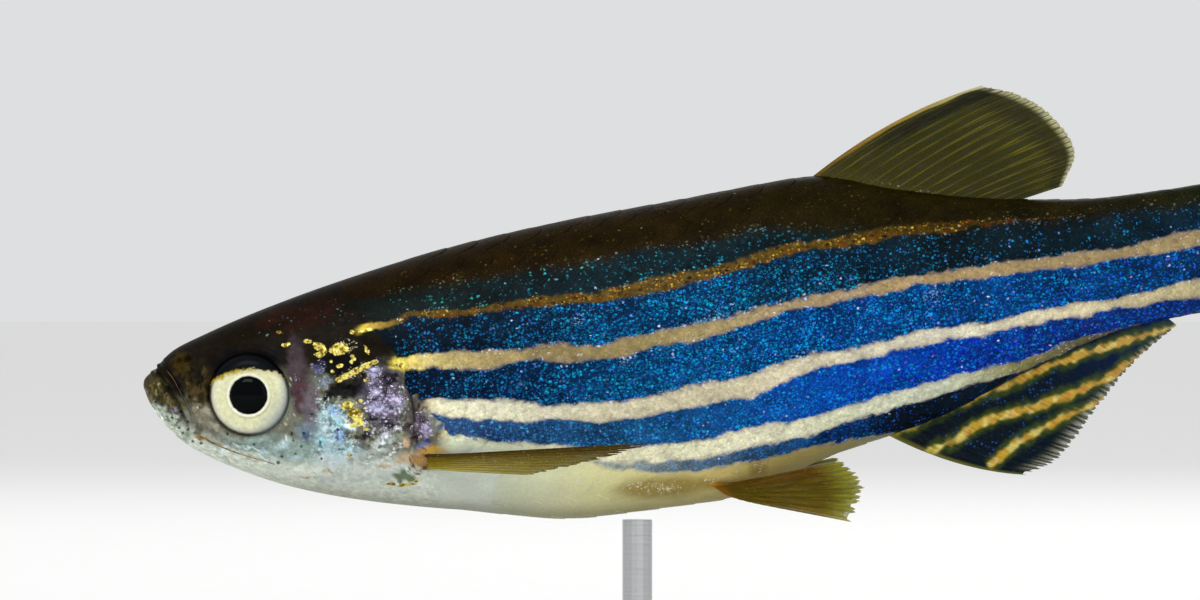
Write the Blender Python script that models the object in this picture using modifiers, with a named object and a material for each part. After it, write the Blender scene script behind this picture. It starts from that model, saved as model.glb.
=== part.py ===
"""Zebra danio as a still, life-size model held by one short rod on a flat base.

The fish is laid out along its own axis, in millimetres: x runs from the chin to the tail, z is up,
and its left side is at -y. A parent empty then turns it nose down, as it swims, and lifts it onto
the rod. The origin is the centre of the underside of the base.
"""

import math

import bmesh
import bpy
import numpy as np
from mathutils import Matrix, Vector

MM = 0.001
GAP = 0.25  # between touching pieces
PITCH = math.radians(7.8)  # the tail is carried this much higher than the head

# Body, from the chin to the root of the tail fin
BODY_LENGTH = 35.0
# distance from the chin, top, bottom, half width, height of the widest line
BODY_STATIONS = (
    (0.0, -0.15, -0.15, 0.00, -0.15),
    (0.3, 0.36, -1.04, 0.66, -0.42),
    (1.0, 0.93, -1.94, 1.06, -0.70),
    (2.0, 1.28, -2.65, 1.36, -0.85),
    (4.0, 1.83, -3.66, 1.76, -1.00),
    (6.0, 2.27, -4.33, 2.02, -1.05),
    (9.0, 2.78, -5.05, 2.24, -1.05),
    (13.0, 3.18, -5.78, 2.36, -1.05),
    (16.5, 3.34, -5.80, 2.26, -0.95),
    (20.5, 3.52, -4.86, 1.90, -0.60),
    (23.5, 2.70, -4.25, 1.62, -0.45),
    (26.5, 2.03, -3.18, 1.30, -0.35),
    (30.0, 1.66, -2.27, 0.96, -0.25),
    (35.0, 1.70, -2.05, 0.62, -0.20),
)
# distance from the chin, squareness of the back, squareness of the belly (2 is an ellipse)
SQUARENESS = (
    (0.0, 2.2, 2.0),
    (3.0, 2.5, 2.1),
    (8.0, 2.2, 2.2),
    (16.0, 2.0, 2.1),
    (24.0, 1.9, 1.6),
    (35.0, 2.0, 2.0),
)
BODY_RINGS = 54
BODY_SIDES = 28
RING_CROWDING = 1.5  # above 1, rings sit closer together at the snout

# Where the body is parted, as lines in side view from above to below
MOUTH_CORNER = (1.20, -1.70)
MOUTH_LINE = ((0.10, 1.05), (0.42, 0.43), (0.74, -0.19), (0.98, -0.75), (1.12, -1.25), MOUTH_CORNER)
THROAT_LINE = ((1.60, -2.15), (2.30, -3.60))
GILL_SLIT = ((7.5, 5.0), (7.5, 2.4), (7.75, 0.8), (8.0, -0.8), (8.06, -2.0), (7.75, -3.1), (7.0, -4.1), (6.3, -6.5))
VENT_LINE = ((26.2, 5.0), (25.6, 2.0), (23.6, -1.4), (21.8, -4.6), (21.2, -6.5))

# Head
EYE_CENTRE = (3.14, -0.75)
EYE_RADIUS = 1.33
PUPIL_RADIUS = 0.57
EYE_FRONT = 1.86  # how far the middle of the cornea stands from the mid plane
EYE_DEPTH = 1.25
EYE_YAW = math.radians(5)  # the eyes look a little forward
EYE_SIDES = 28
NOSTRIL = (1.30, 0.62)
NOSTRIL_SIZE = (0.22, 0.16, 0.17)
LIP_RADIUS = 0.13
GILL_COVER_CENTRE = (6.52, -1.92)
GILL_COVER_HALF = (1.42, 1.80)
GILL_COVER_SQUARENESS = 2.4
GILL_COVER_LEAN = 0.12  # the lower end lies further forward, as a share of the height
GILL_COVER_THICKNESS = 0.50
GILL_COVER_PROUD = 0.07

# Barbels: root, bend and tip in side view, and how much further the tip stands off the cheek
BARBELS = {
    "maxillary": (((1.34, -1.66), (2.35, -2.22), (3.58, -2.86)), 0.55),
    "rostral": (((0.74, 0.30), (1.02, -0.35), (1.22, -1.05)), 0.25),
}
BARBEL_BEND = 0.34  # each leaves the skin at a right angle and bends back over this radius
BARBEL_ROOT_RADIUS = 0.24
BARBEL_TIP_RADIUS = 0.10

# Fins
MEMBRANE_THICKNESS = 0.50
RAY_THICKNESS = 0.68
MARGIN_THICKNESS = 0.24  # both, at the outer edge
SHOULDER = 0.30  # of the way to the next ray, where a ray's ridge meets the membrane
MARGIN_NOTCH = 0.022  # how much shorter the membrane is than its rays
DORSAL_BASE = (20.6, 25.2)
DORSAL_TIPS = ((25.6, 5.50), (27.0, 5.16), (28.2, 4.20), (28.75, 3.20), (28.3, 2.40))
DORSAL_RAYS = 9
ANAL_BASE = (22.2, 30.6)
ANAL_TIPS = ((25.7, -6.26), (27.4, -5.70), (29.0, -4.30), (30.3, -3.12), (31.2, -2.60))
ANAL_RAYS = 13
CAUDAL_RAYS = 18
CAUDAL_LOBE = 8.6
CAUDAL_FORK = 5.6
CAUDAL_SPREAD = math.radians(29)
CAUDAL_CENTRE = -0.18
CAUDAL_ROOT_THICKNESS = 1.05
FIN_RISE = 0.82  # how far a paired fin's rays head straight out before they sweep back
PECTORAL_RAYS = 10
PECTORAL_BASE = ((8.14, -3.02), (8.20, -3.62))
PECTORAL_TIPS = ((14.9, 4.10, -3.74), (13.2, 3.35, -4.02), (11.2, 2.75, -4.20))
PELVIC_RAYS = 7
PELVIC_BASE = ((16.90, -5.40), (16.50, -4.82))
PELVIC_TIPS = ((20.5, 1.45, -6.92), (21.05, 1.95, -6.0), (20.6, 2.40, -5.05))

# Stand
BASE_SIZE = (30.0, 16.0, 3.0)
BASE_BEVEL = 0.6
ROD_RADIUS = 0.45
ROD_STATION = 14.2  # along the fish, below its middle
ROD_HEIGHT = 6.5
ROD_SIDES = 16


def smooth(table, x, column):
    """A column of the table at x, by cubic pieces that neither overshoot nor kink. Stations are
    spaced by the root of their distance, which rounds the snout."""
    u = np.sqrt([row[0] for row in table])
    v = np.array([row[column] for row in table], float)
    at = math.sqrt(min(max(x, table[0][0]), table[-1][0]))
    step, slope = np.diff(u), np.diff(v) / np.diff(u)
    tangent = np.empty_like(v)
    tangent[0], tangent[-1] = slope[0], slope[-1]
    for k in range(1, len(v) - 1):
        same_way = slope[k - 1] * slope[k] > 0
        weights = (step[k - 1] + 2 * step[k], 2 * step[k - 1] + step[k])
        tangent[k] = sum(weights) / (weights[1] / slope[k - 1] + weights[0] / slope[k]) if same_way else 0
    k = min(int(np.searchsorted(u, at, "right")) - 1, len(u) - 2)
    t = (at - u[k]) / step[k]
    start = (1 + 2 * t) * (1 - t) ** 2 * v[k] + t * (1 - t) ** 2 * step[k] * tangent[k]
    end = t * t * (3 - 2 * t) * v[k + 1] + t * t * (t - 1) * step[k] * tangent[k + 1]
    return float(start + end)


def along(points, t):
    """The point at t, from 0 to 1, of a smooth curve through the points."""
    points = [Vector(p) for p in points]
    points = [2 * points[0] - points[1], *points, 2 * points[-1] - points[-2]]
    place = min(max(t, 0.0), 1.0) * (len(points) - 3)
    k = min(int(place), len(points) - 4)
    f = place - k
    a, b, c, d = points[k : k + 4]
    return 0.5 * (2 * b + (c - a) * f + (2 * a - 5 * b + 4 * c - d) * f**2 + (3 * b - a - 3 * c + d) * f**3)


def section(x):
    """Top, bottom, half width, widest height and the two squarenesses of the body at x."""
    return [smooth(BODY_STATIONS, x, k) for k in (1, 2, 3, 4)] + [smooth(SQUARENESS, x, k) for k in (1, 2)]


def half_width(x, z):
    """How far the body's side stands from the mid plane at x and z."""
    top, bottom, half, widest, upper, lower = section(x)
    share, power = ((z - widest) / (top - widest), upper) if z > widest else ((widest - z) / (widest - bottom), lower)
    return half * max(0.0, 1 - min(share, 1.0) ** power) ** (1 / power)


def new_object(name, mesh, collection):
    obj = bpy.data.objects.new(name, mesh)
    collection.objects.link(obj)
    return obj


def mesh_of(name, points, faces):
    """A closed mesh from points in millimetres, with its faces turned outwards."""
    mesh = bpy.data.meshes.new(name)
    mesh.from_pydata([Vector(p) * MM for p in points], [], faces)
    shape = bmesh.new()
    shape.from_mesh(mesh)
    bmesh.ops.recalc_face_normals(shape, faces=shape.faces)
    shape.to_mesh(mesh)
    shape.free()
    return mesh


def body_mesh():
    """The whole body as one loft: rings of BODY_SIDES points from the chin to the tail root."""
    points, faces = [(0.0, 0.0, BODY_STATIONS[0][1])], []
    for ring in range(1, BODY_RINGS + 1):
        x = BODY_LENGTH * (ring / BODY_RINGS) ** RING_CROWDING
        top, bottom, half, widest, upper, lower = section(x)
        for side in range(BODY_SIDES):
            angle = math.tau * side / BODY_SIDES
            rise, power = (top - widest, upper) if math.sin(angle) > 0 else (widest - bottom, lower)
            y = half * math.copysign(abs(math.cos(angle)) ** (2 / power), math.cos(angle))
            z = widest + rise * math.copysign(abs(math.sin(angle)) ** (2 / power), math.sin(angle))
            points.append((x, y, z))
    for side in range(BODY_SIDES):
        after = (side + 1) % BODY_SIDES
        faces.append((0, 1 + side, 1 + after))
        for ring in range(BODY_RINGS - 1):
            low, high = 1 + ring * BODY_SIDES, 1 + (ring + 1) * BODY_SIDES
            faces.append((low + side, high + side, high + after, low + after))
    faces.append(tuple(range(1 + (BODY_RINGS - 1) * BODY_SIDES, 1 + BODY_RINGS * BODY_SIDES)))
    return mesh_of("body", points, faces)


def shifted(line, distance):
    """The line moved sideways in side view: to the tail for a positive distance."""
    moved = []
    for k, point in enumerate(line):
        run = Vector(line[min(k + 1, len(line) - 1)]) - Vector(line[max(k - 1, 0)])
        run.normalize()
        moved.append((point[0] - run[1] * distance, point[1] + run[0] * distance))
    return moved


def curved(line, count):
    return [tuple(along(line, k / (count - 1))) for k in range(count)]


def prism(name, outline, cutters, reach=4.0):
    """An outline in side view made a block that reaches through the body from side to side."""
    curve = bpy.data.curves.new(name, "CURVE")
    curve.dimensions, curve.fill_mode, curve.extrude = "2D", "BOTH", reach * MM
    spline = curve.splines.new("POLY")
    spline.points.add(len(outline) - 1)
    for point, (x, z) in zip(spline.points, outline):
        point.co = (x * MM, z * MM, 0, 1)
    spline.use_cyclic_u = True
    drawn = new_object(name + "_outline", curve, cutters)
    graph = bpy.context.evaluated_depsgraph_get()
    mesh = bpy.data.meshes.new_from_object(drawn.evaluated_get(graph))
    bpy.data.objects.remove(drawn)
    mesh.transform(Matrix.Rotation(math.radians(90), 4, "X"))
    shape = bmesh.new()
    shape.from_mesh(mesh)
    bmesh.ops.remove_doubles(shape, verts=shape.verts, dist=1e-6)
    bmesh.ops.recalc_face_normals(shape, faces=shape.faces)
    shape.to_mesh(mesh)
    shape.free()
    return cutter(new_object(name, mesh, cutters))


def cutter(obj):
    obj.hide_render, obj.display_type = True, "WIRE"
    return obj


def cut(obj, tool, operation="DIFFERENCE"):
    modifier = obj.modifiers.new(tool.name, "BOOLEAN")
    modifier.operation, modifier.solver, modifier.object = operation, "EXACT", tool
    return obj


def fuse(obj, pieces):
    """Joins closed pieces to the object by one union, then removes them."""
    group = bpy.data.collections.new(obj.name + "_pieces")
    bpy.context.scene.collection.children.link(group)
    for piece in pieces:
        for home in list(piece.users_collection):
            home.objects.unlink(piece)
        group.objects.link(piece)
    modifier = obj.modifiers.new("joined", "BOOLEAN")
    modifier.operation, modifier.solver = "UNION", "EXACT"
    modifier.operand_type, modifier.collection = "COLLECTION", group
    keep_largest(obj)
    for piece in pieces:
        bpy.data.objects.remove(piece)
    bpy.data.collections.remove(group)
    return obj


def keep_largest(obj):
    """Applies the object's modifiers and drops all but its largest closed surface."""
    bpy.context.view_layer.update()
    graph = bpy.context.evaluated_depsgraph_get()
    mesh = bpy.data.meshes.new_from_object(obj.evaluated_get(graph))
    obj.modifiers.clear()
    obj.data = mesh
    shape = bmesh.new()
    shape.from_mesh(mesh)
    bmesh.ops.remove_doubles(shape, verts=shape.verts, dist=1e-7)
    surfaces, unseen = [], set(shape.verts)
    while unseen:
        reached, front = set(), [unseen.pop()]
        while front:
            vertex = front.pop()
            reached.add(vertex)
            near = {edge.other_vert(vertex) for edge in vertex.link_edges} & unseen
            unseen -= near
            front.extend(near)
        surfaces.append(reached)
    largest = max(surfaces, key=len)
    bmesh.ops.delete(shape, geom=[v for v in shape.verts if v not in largest], context="VERTS")
    shape.to_mesh(mesh)
    shape.free()
    return obj


def tube(name, path, radii, sides_level, cutters):
    """A round tube along the path as a closed mesh, tapered where the radii differ."""
    curve = bpy.data.curves.new(name, "CURVE")
    curve.dimensions, curve.bevel_depth, curve.use_fill_caps = "3D", MM, True
    curve.bevel_resolution = sides_level
    spline = curve.splines.new("POLY")
    spline.points.add(len(path) - 1)
    for point, place, radius in zip(spline.points, path, radii):
        point.co = (*(Vector(place) * MM), 1)
        point.radius = radius
    drawn = new_object(name + "_path", curve, cutters)
    graph = bpy.context.evaluated_depsgraph_get()
    mesh = bpy.data.meshes.new_from_object(drawn.evaluated_get(graph))
    bpy.data.objects.remove(drawn)
    shape = bmesh.new()
    shape.from_mesh(mesh)
    bmesh.ops.remove_doubles(shape, verts=shape.verts, dist=1e-6)
    bmesh.ops.recalc_face_normals(shape, faces=shape.faces)
    shape.to_mesh(mesh)
    shape.free()
    return mesh


def material(name, colour, roughness, metallic=0.0, alpha=1.0):
    made = bpy.data.materials.new(name)
    made.use_nodes = True
    shader = made.node_tree.nodes["Principled BSDF"]
    shader.inputs["Base Color"].default_value = (*colour, 1)
    shader.inputs["Roughness"].default_value = roughness
    shader.inputs["Metallic"].default_value = metallic
    shader.inputs["Alpha"].default_value = alpha
    return made


def dress(obj, finish, smooth_angle=40):
    obj.data.materials.clear()
    obj.data.materials.append(finish)
    obj.data.shade_smooth()
    obj.data.set_sharp_from_angle(angle=math.radians(smooth_angle))
    return obj


def turned(name, profile, sides, collection):
    """A profile of (radius, height) pairs, from the front down its outer side, turned about z."""
    mesh = bpy.data.meshes.new(name)
    points = [(radius * MM, 0, height * MM) for radius, height in profile]
    mesh.from_pydata(points, [(k, k + 1) for k in range(len(points) - 1)], [])
    obj = new_object(name, mesh, collection)
    screw = obj.modifiers.new("turned", "SCREW")
    screw.axis, screw.steps, screw.render_steps = "Z", sides, sides
    screw.use_merge_vertices, screw.merge_threshold = True, 1e-6
    return obj


def aim_eye(obj, side):
    """Sets a turned eye or socket in the head, its axis pointing out to that side."""
    x, z = EYE_CENTRE
    obj.location = Vector((x, side * EYE_FRONT, z)) * MM
    obj.rotation_euler = (math.radians(-90) * side, 0, EYE_YAW * side)
    return obj


def eye_profile(grow):
    """Pupil, iris dome and back of the eyeball, grown all round for its socket."""
    radius, depth = EYE_RADIUS + grow, EYE_DEPTH + grow
    back = [(radius * math.cos(a), -0.55 - (depth - 0.55) * math.sin(a)) for a in np.radians((0, 22, 45, 68))]
    front = [(0.0, 0.0), (PUPIL_RADIUS - 0.05, -0.03), (PUPIL_RADIUS, -0.12), (0.95, -0.22), (1.2, -0.38)]
    if grow:
        front = [(0.0, 2.0), (radius, 2.0)]
    return [*front, *back, (0.0, -depth)]


def surface_plate(name, centre, half, lean, power, outer, inner, side, rings=5, spokes=24):
    """A plate that follows the body's side: a rounded outline in side view, between two depths."""
    grid = [(0.0, 0.0)]
    for ring in range(1, rings + 1):
        for spoke in range(spokes):
            angle = math.tau * spoke / spokes
            c, s = math.cos(angle), math.sin(angle)
            reach = (abs(c) ** power + abs(s) ** power) ** (-1 / power) * ring / rings
            grid.append((reach * c, reach * s))
    points, faces = [], []
    for depth in (outer, inner):
        for across, up in grid:
            x = centre[0] + half[0] * across + lean * half[1] * up
            z = centre[1] + half[1] * up
            points.append((x, side * (half_width(x, z) + depth), z))
    count = len(grid)
    for spoke in range(spokes):
        after = (spoke + 1) % spokes
        for low in (0, count):
            faces.append((low, low + 1 + spoke, low + 1 + after))
            for ring in range(rings - 1):
                a, b = low + 1 + ring * spokes, low + 1 + (ring + 1) * spokes
                faces.append((a + spoke, b + spoke, b + after, a + after))
        rim = 1 + (rings - 1) * spokes
        faces.append((rim + spoke, rim + after, count + rim + after, count + rim + spoke))
    return mesh_of(name, points, faces)


def bowed(root, tip, bow, s):
    """The point at s, from 0 to 1, of a ray that bows to one side of the line from root to tip."""
    return Vector(root).lerp(Vector(tip), s) + Vector(bow) * (4 * s * (1 - s))


def ray_fin(name, rays, on_ray, root_thickness, stations):
    """A fin: one thin sheet with each ray as a ridge on both faces. on_ray(k, s) is the point at s,
    from 0 at its root to 1 at its tip, of ray k, and the stations are the places along the rays
    that get a row of points. The two faces stand off the sheet square to it."""
    columns = []
    for k in range(rays):
        columns += [(k - SHOULDER, False)] if k else []
        columns += [(k, True)]
        columns += [(k + SHOULDER, False)] if k < rays - 1 else []

    def sheet(place, s):
        place, s = min(max(place, 0.0), rays - 1.0), min(max(s, 0.0), 1.0)
        k = min(int(place), rays - 2)
        return on_ray(k, s).lerp(on_ray(k + 1, s), place - k)

    front, back = [], []
    for s in stations:
        for place, crest in columns:
            reach = s * (1.0 if crest else 1 - MARGIN_NOTCH)
            across = sheet(place + 1, reach) - sheet(place - 1, reach)
            outward = sheet(place, reach + 0.02) - sheet(place, reach - 0.02)
            full = RAY_THICKNESS if crest else MEMBRANE_THICKNESS
            thick = full + (root_thickness - full) * max(0.0, 1 - 4 * s)
            thick += (MARGIN_THICKNESS - full) * max(0.0, (s - 0.75) / 0.25)
            stand = across.cross(outward).normalized() * thick / 2
            front.append(sheet(place, reach) + stand)
            back.append(sheet(place, reach) - stand)
    wide, rows, count, faces = len(columns), len(stations) - 1, len(front), []
    for row in range(rows):
        for c in range(wide - 1):
            a, b = row * wide + c, (row + 1) * wide + c
            for low in (0, count):
                faces += [(low + a, low + b, low + b + 1), (low + a, low + b + 1, low + a + 1)]
        for c in (0, wide - 1):
            a, b = row * wide + c, (row + 1) * wide + c
            faces.append((a, b, count + b, count + a))
    for c in range(wide - 1):
        for a in (c, rows * wide + c):
            faces.append((a, a + 1, count + a + 1, count + a))
    return mesh_of(name, front + back, faces)


def evenly(count):
    return [k / (count - 1) for k in range(count)]


def median_fin(name, base, edge_of_body, tips, rays, bow):
    """The dorsal or anal fin, upright on the mid plane, rooted a gap off the body's outline."""

    def on_ray(k, s):
        t = k / (rays - 1)
        x = base[0] + (base[1] - base[0]) * t
        end = along(tips, t)
        root = (x, 0, edge_of_body(x) + math.copysign(GAP, bow))
        return bowed(root, (end[0], 0, end[1]), (0, 0, bow * (1 - t) ** 1.5), s)

    return ray_fin(name, rays, on_ray, MEMBRANE_THICKNESS + 0.3, evenly(7))


def caudal_fin():
    """The tail fin: rays fan from the end of the body, longest near the edges of its two lobes."""
    top, bottom = (smooth(BODY_STATIONS, BODY_LENGTH, k) for k in (1, 2))
    start = BODY_LENGTH + GAP

    def on_ray(k, s):
        swing = 1 - 2 * k / (CAUDAL_RAYS - 1)
        middle, half = (top + bottom) / 2, (top - bottom) / 2 - 0.12
        angle = CAUDAL_SPREAD * math.copysign(abs(swing) ** 0.85, swing)
        rounded = 1 - 0.12 * max(0.0, (abs(swing) - 0.85) / 0.15)
        reach = (CAUDAL_FORK + (CAUDAL_LOBE - CAUDAL_FORK) * abs(swing) ** 1.1) * rounded
        tip = (start + reach * math.cos(angle), 0, CAUDAL_CENTRE + swing * 1.1 + reach * math.sin(angle))
        return bowed((start, 0, middle + half * swing), tip, (0, 0, 0.35 * swing), s)

    return ray_fin("fin_caudal", CAUDAL_RAYS, on_ray, CAUDAL_ROOT_THICKNESS, evenly(9))


def paired_fin(name, base, tips, rays, rise, side):
    """A pectoral or pelvic fin. Each ray faces the skin squarely across a gap, rises off it, and
    then sweeps back and out to its tip."""

    def on_ray(k, s):
        t = k / (rays - 1)
        root, out = skin(*Vector(base[0]).lerp(Vector(base[1]), t))
        tip = along(tips, t)
        start = root + out * GAP
        low, high = start + out * rise, start.lerp(tip, 0.32) + Vector((0, 0.7 * rise, 0))
        point = start * (1 - s) ** 3 + low * 3 * s * (1 - s) ** 2 + high * 3 * s * s * (1 - s) + tip * s**3
        return Vector((point.x, side * point.y, point.z))

    stations = (0, 0.05, 0.12, 0.22, 0.36, 0.54, 0.76, 1.0)
    return ray_fin(name, rays, on_ray, MEMBRANE_THICKNESS, stations)


def lip(name, offset, cutters):
    """The roll of one lip round the mouth, from its left corner over the snout to its right one."""
    half = []
    for k in range(11):
        x, z = along(shifted(MOUTH_LINE[1:], offset), 1 - k / 10)
        half.append((x, half_width(x, z) - 0.4 * LIP_RADIUS, z))
    half = [p for p in half if p[1] > 0.15]
    path = [(x, -y, z) for x, y, z in half] + half[::-1]
    radii = [LIP_RADIUS * (0.6 + 0.4 * math.sin(math.pi * k / (len(path) - 1)) ** 0.5) for k in range(len(path))]
    return new_object(name, tube(name, path, radii, 1, cutters), cutters)


def skin(x, z):
    """The point of the body's right side at x and z, and the way the skin faces there."""
    step = 0.02
    lean_x = (half_width(x + step, z) - half_width(x - step, z)) / (2 * step)
    lean_z = (half_width(x, z + step) - half_width(x, z - step)) / (2 * step)
    return Vector((x, half_width(x, z), z)), Vector((-lean_x, 1, -lean_z)).normalized()


def barbel(name, line, stand_off, side, cutters):
    """A feeler that faces the skin across a gap, bends back and trails along the cheek, tapering."""
    root, out = skin(*along(line, 0))
    ahead = skin(*along(line, 0.1))[0] - root
    back = (ahead - out * ahead.dot(out)).normalized()
    path = []
    for angle in np.radians((0, 20, 40, 60, 80)):
        path.append(root + out * (GAP + BARBEL_BEND * math.sin(angle)) + back * BARBEL_BEND * (1 - math.cos(angle)))
    for t in (0.32, 0.55, 0.78, 1.0):
        point, normal = skin(*along(line, t))
        path.append(point + normal.lerp(Vector((0, 1, 0)), 0.5) * (GAP + BARBEL_BEND + stand_off * t * t))
    radii = [BARBEL_ROOT_RADIUS + (BARBEL_TIP_RADIUS - BARBEL_ROOT_RADIUS) * t for t in evenly(len(path))]
    return tube(name, [(p.x, side * p.y, p.z) for p in path], radii, 2, cutters)


def clear_scene():
    for obj in list(bpy.data.objects):
        bpy.data.objects.remove(obj)


def build_body(parts, cutters, finishes):
    """Head, lower jaw, trunk and tail, parted from one body along thin curved cuts."""
    whole = body_mesh()
    half_gap = GAP / 2
    jaw_line = list(MOUTH_LINE) + list(THROAT_LINE)
    gill, vent = curved(GILL_SLIT, 15), curved(VENT_LINE, 9)
    ahead, behind, above, below = -1.0, BODY_LENGTH + 1.0, 5.0, -7.0
    regions = {
        "jaw_lower": [*shifted(jaw_line, -half_gap), (ahead, below), (ahead, above)],
        "head": [*shifted(jaw_line, half_gap), (2.3, below), (4.0, below), *shifted(gill, -half_gap)[::-1]],
        "trunk": [*shifted(gill, half_gap), *shifted(vent, -half_gap)[::-1]],
        "tail": [*shifted(vent, half_gap), (behind, below), (behind, above)],
    }
    pieces = {}
    for name, outline in regions.items():
        piece = new_object(name, whole.copy(), parts)
        cut(piece, prism(name + "_region", outline, cutters), "INTERSECT")
        pieces[name] = keep_largest(piece)
        dress(piece, finishes[name])
    fuse(pieces["head"], [lip("lip_upper", half_gap + 0.75 * LIP_RADIUS, cutters)])
    fuse(pieces["jaw_lower"], [lip("lip_lower", -half_gap - 0.75 * LIP_RADIUS, cutters)])
    for side, word in ((-1, "left"), (1, "right")):
        socket = cutter(aim_eye(turned("socket_" + word, eye_profile(GAP), EYE_SIDES, cutters), side))
        cut(pieces["head"], socket)
        recess = surface_plate(
            "gill_recess_" + word, GILL_COVER_CENTRE, [h + GAP for h in GILL_COVER_HALF], GILL_COVER_LEAN,
            GILL_COVER_SQUARENESS, 1.0, -GILL_COVER_THICKNESS - GAP, side,
        )
        cut(pieces["head"], cutter(new_object("gill_recess_" + word, recess, cutters)))
        bpy.ops.mesh.primitive_uv_sphere_add(segments=12, ring_count=8, radius=MM)
        pit = bpy.context.active_object
        pit.name = "nostril_" + word
        for home in list(pit.users_collection):
            home.objects.unlink(pit)
        cutters.objects.link(pit)
        pit.scale = NOSTRIL_SIZE
        x, z = NOSTRIL
        pit.location = Vector((x, side * half_width(x, z), z)) * MM
        cut(pieces["head"], cutter(pit))
    keep_largest(pieces["head"])
    return pieces


def build_head_pieces(parts, cutters, finishes):
    """Eyes, gill covers and barbels, each a mirrored pair."""
    made = []
    for side, word in ((-1, "left"), (1, "right")):
        eye = aim_eye(turned("eye_" + word, eye_profile(0), EYE_SIDES, parts), side)
        dress(eye, finishes["eye"])
        plate = surface_plate(
            "gill_cover_" + word, GILL_COVER_CENTRE, GILL_COVER_HALF, GILL_COVER_LEAN,
            GILL_COVER_SQUARENESS, GILL_COVER_PROUD, -GILL_COVER_THICKNESS, side,
        )
        cover = dress(new_object("gill_cover_" + word, plate, parts), finishes["gill_cover"])
        made += [eye, cover]
        for kind, (line, stand_off) in BARBELS.items():
            name = f"barbel_{kind}_{word}"
            mesh = barbel(name, line, stand_off, side, cutters)
            made.append(dress(new_object(name, mesh, parts), finishes["barbel"]))
    return made


def build_fins(parts, finishes):
    made = []

    def add(mesh, finish):
        made.append(dress(new_object(mesh.name, mesh, parts), finishes[finish], 20))

    add(median_fin("fin_dorsal", DORSAL_BASE, lambda x: smooth(BODY_STATIONS, x, 1), DORSAL_TIPS, DORSAL_RAYS, 0.36), "fin_plain")
    add(median_fin("fin_anal", ANAL_BASE, lambda x: smooth(BODY_STATIONS, x, 2), ANAL_TIPS, ANAL_RAYS, -0.22), "fin_striped")
    add(caudal_fin(), "fin_striped")
    for side, word in ((-1, "left"), (1, "right")):
        pectoral = (PECTORAL_BASE, PECTORAL_TIPS, PECTORAL_RAYS, FIN_RISE)
        pelvic = (PELVIC_BASE, PELVIC_TIPS, PELVIC_RAYS, FIN_RISE)
        add(paired_fin("fin_pectoral_" + word, *pectoral, side), "fin_amber")
        add(paired_fin("fin_pelvic_" + word, *pelvic, side), "fin_amber")
    return made


def build_stand(parts, finishes):
    """A flat bevelled base and one rod that stops a gap below the belly."""
    long, wide, thick = (size * MM for size in BASE_SIZE)
    bpy.ops.mesh.primitive_cube_add(size=1, location=(0, 0, thick / 2))
    base = bpy.context.active_object
    base.name = "stand_base"
    base.data.transform(Matrix.Diagonal((long, wide, thick, 1)))
    bevel = base.modifiers.new("edges", "BEVEL")
    bevel.width, bevel.segments, bevel.limit_method = BASE_BEVEL * MM, 3, "ANGLE"
    bpy.ops.mesh.primitive_cylinder_add(vertices=ROD_SIDES, radius=ROD_RADIUS * MM, depth=ROD_HEIGHT * MM)
    rod = bpy.context.active_object
    rod.name = "stand_rod"
    rod.location = (0, 0, (BASE_SIZE[2] + GAP + ROD_HEIGHT / 2) * MM)
    for obj in (base, rod):
        for home in list(obj.users_collection):
            home.objects.unlink(obj)
        parts.objects.link(obj)
    dress(base, finishes["base"])
    dress(rod, finishes["rod"])


def main():
    clear_scene()
    parts, cutters = (bpy.data.collections.new(name) for name in ("zebra_danio", "cutters"))
    for collection in (parts, cutters):
        bpy.context.scene.collection.children.link(collection)
    finishes = {
        "head": material("head_skin", (0.30, 0.26, 0.20), 0.35),
        "jaw_lower": material("jaw_skin", (0.55, 0.52, 0.42), 0.35),
        "trunk": material("trunk_skin", (0.07, 0.17, 0.36), 0.30),
        "tail": material("tail_skin", (0.06, 0.15, 0.42), 0.30),
        "gill_cover": material("gill_cover_skin", (0.52, 0.50, 0.58), 0.25),
        "eye": material("eye_iris", (0.80, 0.80, 0.62), 0.12),
        "barbel": material("barbel_skin", (0.35, 0.24, 0.10), 0.40),
        "fin_plain": material("dorsal_fin_membrane", (0.16, 0.13, 0.05), 0.40),
        "fin_striped": material("striped_fin_membrane", (0.20, 0.19, 0.16), 0.40),
        "fin_amber": material("amber_fin_membrane", (0.42, 0.29, 0.06), 0.40),
        "base": material("base_walnut", (0.10, 0.05, 0.03), 0.35),
        "rod": material("rod_steel", (0.62, 0.62, 0.62), 0.25, 1.0),
    }
    pieces = list(build_body(parts, cutters, finishes).values())
    pieces += build_head_pieces(parts, cutters, finishes)
    pieces += build_fins(parts, finishes)
    build_stand(parts, finishes)

    pose = bpy.data.objects.new("swimming_pose", None)
    parts.objects.link(pose)
    for obj in pieces + list(cutters.objects):
        obj.parent = pose
    belly = Matrix.Rotation(-PITCH, 3, "Y") @ Vector((ROD_STATION, 0, smooth(BODY_STATIONS, ROD_STATION, 2)))
    rod_top = BASE_SIZE[2] + GAP + ROD_HEIGHT
    pose.rotation_euler = (0, -PITCH, 0)
    pose.location = Vector((-belly.x, 0, rod_top + GAP - belly.z)) * MM
    cutters.hide_render = True


main()
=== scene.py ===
"""Zebra danio: a still, life-size display model of a small striped fish, swimming nose down, held
by one steel rod on a flat walnut base. Sizes are millimetres along the fish's own axis: x runs
from the chin to the tail, z is up and the left side is at -y."""
import math

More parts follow.
